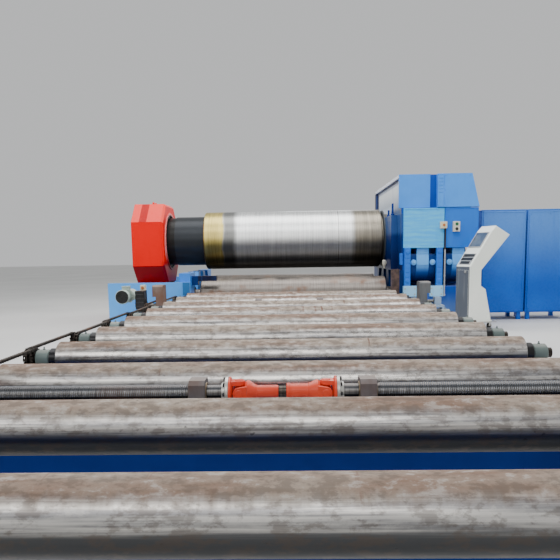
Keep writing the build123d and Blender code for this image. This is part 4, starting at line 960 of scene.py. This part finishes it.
# %% Gearmotor castings
motor_x, motor_z = -2.129, 0.625
gear_end, gear_foot = -1.922, 0.395
gear_inner, gear_outer, gear_axis = gear_end - 0.010, gear_end - 0.128, screw_z + 0.012
gears, bells, motors, covers, grilles = [], [], [], [], []
grille = [(0.306, 0.0), (0.306, 0.082), (0.316, 0.081), (0.318, 0.078)]
for radius in (0.070 - 0.012 * k for k in range(5)):
    grille += [(0.318, radius + 0.003), (0.314, radius), (0.314, radius - 0.005), (0.318, radius - 0.008)]
for y in screw_lines:
    gears += [(block, (gear_outer, y - 0.085, 0.440), (gear_inner, y + 0.085, 0.680)),
              (block, (gear_outer + 0.030, y - 0.070, 0.405), (gear_inner - 0.030, y + 0.070, 0.450)),
              (block, (gear_outer, y - 0.105, gear_foot), (gear_end, y + 0.105, 0.409)),
              *[(turned, [(x, 0.0), (x, 0.078), (x + side * 0.008, 0.074), (x + side * 0.008, 0.050),
                          (x + side * 0.010, 0.046), (x + side * 0.010, 0.0)], at((0, y, gear_axis), along_x), 32)
                for side, x in ((-1, gear_outer), (1, gear_inner))],
              *[(block, (gear_outer + 0.006, y - 0.092, z), (gear_inner - 0.004, y + 0.092, z + 0.009))
                for z in (0.470, 0.522, 0.574, 0.626)]]
    place = at((motor_x, y - 0.105, motor_z), to_front)
    bells += [(turned, [(-0.208, 0.0), (-0.208, 0.050), (-0.200, 0.062), (-0.186, 0.064), (-0.180, 0.078),
                        (-0.020, 0.080), (-0.016, 0.084), (0.0, 0.084), (0.006, 0.080), (0.016, 0.075), (0.016, 0.0)],
               place, 36),
              (block, (motor_x + 0.020, y - 0.080, motor_z - 0.062), (gear_end - 0.120, y + 0.070, motor_z + 0.050))]
    motors.append((turned, [(0.014, 0.0), (0.014, 0.080), (0.034, 0.080), (0.040, 0.071), (0.226, 0.071),
                            (0.232, 0.079), (0.252, 0.079), (0.252, 0.0)], place, 40))
    for half, start, end, low, high in ((0.045, 0.255, 0.155, 0.060, 0.118), (0.048, 0.258, 0.152, 0.118, 0.128),
                                        (0.060, 0.240, 0.170, -0.083, -0.072)):
        motors.append((block, (motor_x - half, y - start, motor_z + low), (motor_x + half, y - end, motor_z + high)))
    covers.append((turned, [(0.246, 0.0), (0.246, 0.0885), (0.250, 0.0905), (0.302, 0.0905), (0.312, 0.086),
                            (0.312, 0.0)], place, 48))
    grilles.append((turned, grille + [(0.319, 0.010), (0.319, 0.0)], place, 48))
make("screw_gearboxes", bolt_black, "grey_green", *gears, replaces="centring_gearmotors", bevel=0.006)
make("motor_bells", motor_green, "grey_green", *bells, bevel=0.004)
make("screw_motors", motor_green, "grey_green", *motors, bevel=0.003)
make("motor_fan_covers", motor_green, "grey_green", *covers, bevel=0.001)
make("motor_fan_grilles", rubber_black, "dark_metal", *grilles, bevel=0.0005)

# %% Fins and cover bolts
fin = drawn("motor_fin_template", motor_green, (block, (-0.003, -0.0014, 0.0), (0.014, 0.0014, 0.184)))
rings_at("motor_fins", fin, 34, 0.071, [at((motor_x, y - 0.147, motor_z), to_front) for y in screw_lines], "grey_green")
remove_templates(fin)
rings_at("gearbox_cover_bolts", small_bolt, 8, 0.062,
         [at((gear_outer - 0.008, y, gear_axis), along_x @ flip_z) for y in screw_lines])

# %% [markdown]
# ## Blocks, pushers and pedestals
# These solids already have their shapes. They only need their fasteners and wear parts.

# %% Fasteners round the screws
block_places = [screw_middle + side * 0.4075 for side in sides]
copies_at("screw_block_bolts", flange_bolt, [(x, y + step, 0.312) for x in block_places for y in screw_lines
                                             for step in (-0.088, 0.088)], material=bolt_black)
make("screw_block_bushings", bronze, "bronze", *[
    (turned, [(x + side * 0.039, 0.0356), (x + side * 0.039, 0.048), (x + side * 0.044, 0.046),
              (x + side * 0.044, 0.0356)], at((0, y, screw_z), along_x), 32, True)
    for x in block_places for y in screw_lines for side in sides])
for line, y in (("near", near_y), ("far", far_y)):
    for hand, side in (("left", -1), ("right", 1)):
        low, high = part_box(f"{line}_pusher_{hand}")
        foot = (low.x if side > 0 else high.x) + side * 0.098
        make(f"{line}_{hand}_nut", bronze, "bronze",
             (turned, [(foot, 0.0425), (foot, 0.064), (foot + side * 0.011, 0.062), (foot + side * 0.011, 0.0425)],
              at((0, y, screw_z), along_x), 36, True), body=f"{line}_pusher_{hand}", bevel=0.001)
copies_at("pedestal_bolts", flange_bolt, [(x + dx, y + dy, top) for y in screw_lines
                                          for x, top in ((1.925, 0.440), (-2.031, gear_foot))
                                          for dx in (-0.042, 0.042) for dy in (-0.082, 0.082)])

# %% [markdown]
# ## The drop end
# The red yoke holds the free end of the upper roll and tilts outwards on two pins, so that a finished tube
# can be pulled off. It gets a bolted end cover and a seal ring, and its pins get caps.

# %% Yoke details
upper_line = at((0, 0, upper_axis), along_x)
yoke_back, cover_face, seal_face = -2.650, -2.672, -2.122
make("yoke_end_cover", yoke_red, "yoke_red", (turned, [
    (yoke_back, 0.0), (yoke_back, 0.345), (yoke_back - 0.018, 0.345), (cover_face, 0.340), (cover_face, 0.235),
    (yoke_back - 0.036, 0.225), (yoke_back - 0.036, 0.0)], upper_line, 64), body="yoke", bevel=0.003)
make("yoke_seal_ring", rubber_black, "dark_metal", (turned, [
    (seal_face, 0.4595), (seal_face + 0.014, 0.4595), (seal_face + 0.014, 0.4400), (seal_face - 0.020, 0.4400),
    (seal_face - 0.020, 0.4595)], upper_line, 72, True), body="yoke")
rings_at("yoke_cover_bolts", frame_bolt, 16, 0.305, [at((cover_face, 0, upper_axis), along_x @ flip_z)],
         material=bolt_black, body="yoke")
make("pivot_pin_caps", zinc, "dark_metal", *[
    (turned, [(0.0, 0.0), (0.0, 0.062), (0.008, 0.062), (0.012, 0.056), (0.012, 0.0)],
     at((-2.110, middle + side * 0.176, 0.450), to_front if side < 0 else to_front @ flip_z), 36)
    for middle in (-0.350, 0.350) for side in sides], bevel=0.001)

# %% [markdown]
# ## Housing details
# The drive side is a tall cabinet of plates. Its covers are held by small bolts. Two rods stand on the pad
# beside the rolls, a pale oil pot hangs low on it, and a bearing ring closes the gap round the upper roll's neck.

# %% Housing plates
pad_face, pad_top, cover_front = 1.600, 1.715, -1.349
make("pad_rods", beam_blue, "light_blue", *[
    (turned, [(pad_top - 0.006, 0.0), (pad_top - 0.006, 0.030), (pad_top + 0.030, 0.030), (pad_top + 0.034, 0.016),
              (top - 0.004, 0.016), (top, 0.012), (top, 0.0)], at((1.650, y, 0)), 20)
    for y, top in ((-0.82, 1.91), (-0.42, 1.83))], bevel=0.001)
make("oil_pot", box_ivory, "button_yellow", (turned, [
    (0.0, 0.0), (0.0, 0.008), (0.030, 0.012), (0.050, 0.026), (0.066, 0.032), (0.130, 0.034), (0.140, 0.026),
    (0.144, 0.0)], at((1.566, -0.520, 0.862)), 24), (block, (1.580, -0.540, 0.942), (1.603, -0.500, 0.982)),
     bevel=0.001)
make("drive_bearing_ring", ring_steel, "light_blue", (turned, [
    (pad_face + x, r) for x, r in ((0.002, 0.4235), (0.002, 0.480), (-0.012, 0.480), (-0.020, 0.474),
                                   (-0.028, 0.450), (-0.034, 0.4235))], upper_line, 72, True))
trim = [(block, (2.243, -1.378, 1.806), (2.330, -1.358, 2.296)),
        *[(block, (2.256, -1.384, z), (2.318, -1.376, z + 0.022)) for z in (2.020, 2.072, 2.124, 2.176, 2.228)]]
for x0, x1 in ((1.735, 2.351), (2.363, 2.870)):
    trim += [(block, (x0, -1.357, 1.774), (x1, cover_front, 1.790)),
             (block, (x0, -1.357, 1.192), (x0 + 0.018, cover_front, 1.774))]
make("cover_trim", cover_blue, "light_blue", *trim, (block, (2.340, -1.3645, 1.802), (2.868, -1.3595, 1.822)),
     bevel=0.003)
lug_edge = [(1.690, 0.945), (1.695, 0.935), (1.725, 0.935), (1.731, 0.945)]
make("wall_lug", strap_blue, "light_blue", (extruded, lug_edge + [(x, 2.050 - z) for x, z in reversed(lug_edge)],
                                            rotated(90, "X"), 1.240, 1.334), bevel=0.002)
rings_at("bearing_ring_bolts", small_bolt, 20, 0.462, [at((pad_face - 0.023, 0, upper_axis), along_x @ flip_z)],
         material=bolt_black)


# %% Screws of the covers
def edge_points(x0, z0, x1, z1, y, pitch):
    """Points just inside the edges of an upright plate that faces the camera."""
    across, rise = max(1, round((x1 - x0) / pitch)), max(1, round((z1 - z0) / pitch))
    points = [(x0 + (x1 - x0) * k / across, y, z) for k in range(across + 1) for z in (z0, z1)]
    return points + [(x, y, z0 + (z1 - z0) * k / rise) for k in range(1, rise) for x in (x0, x1)]


cover_points = (edge_points(1.775, 1.225, 2.255, 1.755, -1.350, 0.27)
                + edge_points(2.400, 1.225, 2.845, 1.755, -1.350, 0.27)
                + edge_points(1.695, 1.835, 2.105, 2.270, -1.320, 0.22)
                + edge_points(2.365, 1.845, 2.730, 2.270, -1.360, 0.22))
copies_at("cover_screws", small_bolt, cover_points, "light_blue", to_camera, cover_blue)

# %% [markdown]
# ## Castings, straps and their pins
# Two rounded castings hang below the panels. Caps close their bosses, lighter blue as a painted highlight, and the
# straps beside them end in pale foot blocks that are held with bolts.

# %% Castings
casting_axis, drum_depth, cut_height = 0.970, -0.980, 1.098
strap_places = [1.793, 2.283]


def half_ring(bm, x):
    """A raised rib round a drum, cut off level above."""
    rib = bmesh.new()
    turned(rib, [(x - 0.010, 0.316), (x - 0.010, 0.327), (x + 0.010, 0.327), (x + 0.010, 0.316)],
           at((0, drum_depth, casting_axis), along_x), 64, True)
    cut = bmesh.ops.bisect_plane(rib, geom=rib.verts[:] + rib.edges[:] + rib.faces[:], plane_co=(0, 0, cut_height),
                                 plane_no=up, clear_outer=True)["geom_cut"]
    bmesh.ops.holes_fill(rib, edges=[part for part in cut if isinstance(part, bmesh.types.BMEdge)])
    part = bpy.data.meshes.new("rib")
    rib.to_mesh(part)
    rib.free()
    bm.from_mesh(part)
    bpy.data.meshes.remove(part)


facing_outline = [(-1.250, 0.924), (-1.250, 1.188), (-1.2945, 1.188), (-1.2945, 1.100)]
facing_outline += [(drum_depth - 0.331 * cos(a), casting_axis + 0.331 * sin(a))
                   for a in (radians(22 - 5 * k) for k in range(7))]
caps, ribs, facings = [], [], []
for middle in casting_places:
    for side in sides:
        place = at((middle + side * 0.146, -1.340, casting_axis), to_front)
        caps += [(turned, [(0.0, 0.0), (0.0, 0.036), (0.006, 0.036), (0.010, 0.031), (0.010, 0.0)], place, 32),
                 (turned, [(0.009, 0.0), (0.009, 0.020), (0.022, 0.020), (0.025, 0.016), (0.025, 0.0)], place, 6)]
        ribs.append((half_ring, middle + side * 0.186))
    facings.append((extruded, facing_outline, along_x, middle - facing_half, middle + facing_half))
# Boss caps: painted blue, lightened as a painted highlight.
make("boss_caps", cap_blue_and_highlight, "light_blue", *caps, bevel=0.001)
make("casting_ribs", casting_blue, "light_blue", *ribs)
make("casting_facings", casting_blue, "light_blue", *facings, bevel=0.003)

# %% Straps
make("strap_pins", strap_blue, "light_blue", *[
    (turned, [(0.0, 0.0), (0.0, 0.030), (0.010, 0.030), (0.014, 0.025), (0.014, 0.0)], at((x, -1.390, z), to_front), 28)
    for x in strap_places for z in (1.130, 0.690)], bevel=0.001)
make("strap_plates", strap_blue, "light_blue", *[
    (block, (x - 0.040, -1.3965, z), (x + 0.040, -1.388, z + 0.056))
    for x in strap_places for z in (0.745, 0.817, 0.889, 0.961, 1.033)], bevel=0.003)
copies_at("strap_foot_bolts", flange_bolt, [(x + dx, -1.390, z) for x in (1.834, 2.242) for dx in (-0.075, 0.075)
                                            for z in (0.480, 0.570)], facing=to_camera)

# %% Anchor bolts
copies_at("bed_anchor_bolts", anchor_bolt, [(0.032 + side * 1.505, y, 0.110) for side in sides
                                            for y in (-1.200, 1.200)], material=bolt_black)
copies_at("leg_anchor_bolts", frame_bolt, [(side * 1.710, y + dy, 0.016) for side in sides for y in roller_rows[::3]
                                           for dy in (-0.115, 0.115)], material=bolt_black)

# %% [markdown]
# ## Push-button boxes
# Two boxes sit on the panels, one with an orange stop button and one with two buttons, and one stands on a post
# by the far gearmotor. A conduit runs down from the first.

# %% Button boxes
stop_x, pair_x, lid = 2.3345, 2.5295, 0.003
stand_x, stand_y, stand_low, stand_high = -2.007, far_y + 0.180, 0.670, 0.745
shells, lids = [], []
for x, low in ((stop_x, 1.478), (pair_x, 1.428)):
    shells.append((block, (x - 0.0525, -1.352, low), (x + 0.0525, -1.398, 1.583)))
    lids.append((block, (x - 0.0525 + lid, -1.398, low + lid), (x + 0.0525 - lid, -1.410, 1.583 - lid)))
shells.append((block, (stand_x - 0.0375, stand_y - 0.012, stand_low),
               (stand_x + 0.0375, stand_y + 0.0375, stand_high)))
stand_lid = (block, (stand_x - 0.035, stand_y - 0.024, stand_low + lid),
             (stand_x + 0.035, stand_y - 0.012, stand_high - lid))
knob = [(0.0, 0.0), (0.0, 0.014), (0.004, 0.014), (0.004, 0.020), (0.008, 0.0205), (0.0095, 0.016), (0.0095, 0.0)]
flat = [(0.0, 0.0), (0.0, 0.024), (0.005, 0.024), (0.005, 0.019), (0.009, 0.0185), (0.009, 0.0)]
make("button_box_shells", box_ivory, "button_yellow", *shells, replaces="push_button_boxes", bevel=0.004)
make("stop_box_lids", box_cream, "button_yellow", lids[0], stand_lid, bevel=0.004)
make("pair_box_lid", box_ivory, "button_yellow", lids[1], bevel=0.004)
make("stop_buttons", button_orange, "button_yellow", (turned, knob, at((stop_x, -1.410, 1.530), to_front), 28),
     (turned, knob, at((stand_x, stand_y - 0.024, (stand_low + stand_high) / 2), to_front), 28))
for name, material, z in (("start_button", button_green, 1.543), ("halt_button", key_black, 1.470)):
    make(name, material, "button_yellow", (turned, flat, at((pair_x, -1.410, z), to_front), 24))

# %% Conduit, post and hose
conduit = at((2.362, -1.385, 0))
hose = [(0.450, 0.0), (0.450, 0.016), (0.480, 0.016), (0.484, 0.011)]
for z in (0.492 + 0.012 * k for k in range(56)):
    hose += [(z, 0.0105), (z + 0.006, 0.0118)]
make("conduit_and_post", chain_brown, "dark_metal", (turned, [
    (1.165, 0.0), (1.165, 0.012), (1.466, 0.012), (1.468, 0.016), (1.480, 0.016), (1.480, 0.0)], conduit, 16), (turned, [
        (0.0, 0.0), (0.0, 0.045), (0.006, 0.045), (0.006, 0.014), (0.658, 0.014), (0.660, 0.019), (0.672, 0.019),
        (0.672, 0.0)], at((stand_x, stand_y, 0)), 20))
make("flexible_hose", panel_grey, "dark_metal", (turned, hose + [(1.166, 0.011), (1.166, 0.0)], conduit, 14),
     *[(turned, rod(z, z + 0.014, 0.0165), conduit, 16) for z in (0.75, 1.00)])

# %% [markdown]
# ## Cabinets
# Two sheet-metal cabinets stand on short legs. Towards the table they show plain screwed panels. The doors,
# with hinges, handles and louvres, are on the far side.

# %% Cabinet panels
front_skin, rear_skin = (corner.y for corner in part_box("electric_cabinets"))
cabinet_width, cabinet_roof, strip = 0.708, 1.776, 0.018
low, high = 0.142, 1.754
frames, fittings, slats, points = [], [], [], []
for start in (3.093, 3.831):
    x0, x1 = start + 0.022, start + cabinet_width - 0.022
    for y0, y1 in ((front_skin - 0.006, front_skin + 0.001), (rear_skin - 0.001, rear_skin + 0.006)):
        frames += [(block, (x0, y0, low), (x1, y1, low + strip)), (block, (x0, y0, high - strip), (x1, y1, high)),
                   (block, (x0, y0, low + strip), (x0 + strip, y1, high - strip)),
                   (block, (x1 - strip, y0, low + strip), (x1, y1, high - strip))]
    frames.append((block, (start - 0.004, front_skin + 0.004, cabinet_roof - 0.004),
                   (start + cabinet_width + 0.004, rear_skin - 0.004, cabinet_roof + 0.008)))
    fittings += [(block, (start + 0.045, rear_skin, 0.90), (start + 0.075, rear_skin + 0.008, 1.08)),
                 (block, (start + 0.051, rear_skin + 0.006, 0.92), (start + 0.069, rear_skin + 0.030, 1.04)),
                 *[(turned, rod(z - 0.04, z + 0.04, 0.009),
                    at((start + cabinet_width - 0.026, rear_skin + 0.004, 0)), 14) for z in (0.30, 0.95, 1.60)]]
    slats += [(start + cabinet_width / 2, rear_skin, base + 0.030 * k) for base in (0.26, 1.44) for k in range(8)]
    points += edge_points(start + 0.052, 0.185, start + cabinet_width - 0.052, 1.710, front_skin, 0.40)
make("cabinet_frames", cabinet_blue, "cabinet_blue", *frames, bevel=0.003)
make("cabinet_handles", key_black, "dark_metal", *fittings, bevel=0.002)
slat = drawn("louvre_template", cabinet_blue,
             (extruded, [(0, 0), (0.012, -0.010), (0.013, -0.006), (0.002, 0.006)], along_x, -0.11, 0.11))
copies_at("cabinet_louvres", slat, slats, "cabinet_blue", twist=0.0)
remove_templates(slat)
copies_at("cabinet_screws", small_bolt, points, "cabinet_blue", to_camera, cabinet_blue)

# %% [markdown]
# ## The console
# It leans back over its wheeled base. The desk carries a display in a grey bezel and rows of black keys.
# The drawing plane of the desk is turned with the console and tilted with its slope.

# %% Console desk
def plane(right, above, out, place):
    """A drawing plane from its three directions and its place."""
    return at(place, Matrix((right, above, out)).transposed().to_4x4())


console_origin = Vector((2.560, -2.040, 0))
rise, slope_length = Vector((0.356, 0.510)).normalized(), hypot(0.356, 0.510)
upright = Vector((0, 0, 1))
desk = plane(-console_out, console_right * rise.x + upright * rise.y, console_right * -rise.y + upright * rise.x,
             console_origin + upright * 0.910)
low, high = 0.332, slope_length - 0.030
make("display_bezel", panel_grey, "console_panel", *[
    (block, (x0, y0, -0.002), (x1, y1, 0.012), desk)
    for x0, x1, y0, y1 in ((0.030, 0.310, low, low + 0.010), (0.030, 0.310, high - 0.010, high),
                           (0.030, 0.040, low + 0.010, high - 0.010), (0.300, 0.310, low + 0.010, high - 0.010))],
     (block, (0.034, 0.034, -0.002), (0.306, 0.226, 0.004), desk), replaces="console_desk", bevel=0.002)
make("display_glass", display_glass, "console_panel",
     (block, (0.038, 0.340, -0.002), (0.302, slope_length - 0.038, 0.008), desk), bevel=0.001)

# %% Console keys
tree, given = new_tree("keys_on_a_grid", ("Template", "Object", None), ("Columns", "Int", 9), ("Rows", "Int", 4),
                       ("Width", "Float", 0.23), ("Height", "Float", 0.12))
grid = put(tree, "GeometryNodeMeshGrid", given["Width"], given["Height"], given["Columns"], given["Rows"])
end_tree(tree, put_copies(tree, grid, given["Template"]), given["Material"])
key = drawn("key_template", key_black, (turned, [(0.0, 0.0165), (0.008, 0.0140), (0.008, 0.0)], rotated(45, "Z"), 4))
join("console_keys", key_black, [
    (run_tree(tree, Template=key, Material=key_black, Columns=columns, Rows=2, Width=width, Height=0.022),
     desk @ at((0.170, distance + 0.008, 0.004)))
    for distance, columns, width in ((0.182, 10, 0.234), (0.120, 10, 0.234), (0.058, 8, 0.182))], "console_panel")
remove_templates(key)

# %% Console door and trolley
front = plane(console_right, upright, console_out, console_origin)
make("console_door", console_cream, "console_cream", (block, (-0.004, 0.150, -0.310), (0.001, 0.860, -0.030), front),
     (block, (-0.006, 0.104, -0.342), (0.396, 0.124, 0.002), front), bevel=0.002)
make("console_lock", zinc, "dark_metal", (turned, [(0.0, 0.0), (0.0, 0.018), (0.008, 0.016), (0.008, 0.0)],
                                          front @ at((-0.004, 0.835, -0.110), rotated(-90, "Y")), 20))
trolley, wheels = [(block, (-0.065, 0.096, -0.370), (0.455, 0.110, 0.030), front)], []
tyre = mirrored([(-0.014, 0.008), (-0.014, 0.034), (-0.010, 0.0395)])
for place in (front @ at((x, 0, depth)) for x in (-0.005, 0.395) for depth in (-0.060, -0.280)):
    axle = place @ at((0, 0.040, 0))
    trolley += [(block, (-0.016, 0.034, side * 0.0165), (0.016, 0.090, side * 0.0205), place) for side in sides]
    trolley += [(block, (-0.026, 0.084, -0.026), (0.026, 0.097, 0.026), place),
                (turned, rod(-0.024, 0.024, 0.007), axle, 12)]
    wheels.append((turned, tyre, axle, 28, True))
make("trolley_plate", zinc, "dark_metal", *trolley, replaces="console_trolley", bevel=0.0015)
make("trolley_wheels", rubber_black, "dark_metal", *wheels)

# %% [markdown]
# ## Table details
# The side beams are channels. Stiffeners stand in them under every roller, and cleats hold the cross beams.

# %% Stiffeners and cleats
make("beam_stiffeners", beam_blue, "dark_blue", *[
    (block, (side * 1.670, y - 0.005, 0.163), (side * 1.754, y + 0.005, 0.337)) for side in sides for y in roller_rows],
     bevel=0.001)
make("beam_cleats", beam_blue, "dark_blue", *[
    (block, (side * 1.577, y + face * 0.0595, 0.125), (side * 1.661, y + face * 0.070, 0.270))
    for side in sides for y in bay_middles for face in sides], bevel=0.002)
copies_at("cleat_bolts", flange_bolt, [(side * 1.619, y - 0.070, z) for side in sides for y in bay_middles
                                       for z in (0.160, 0.235)], facing=to_camera, material=bolt_black)
remove_templates(small_bolt, flange_bolt, frame_bolt, anchor_bolt)
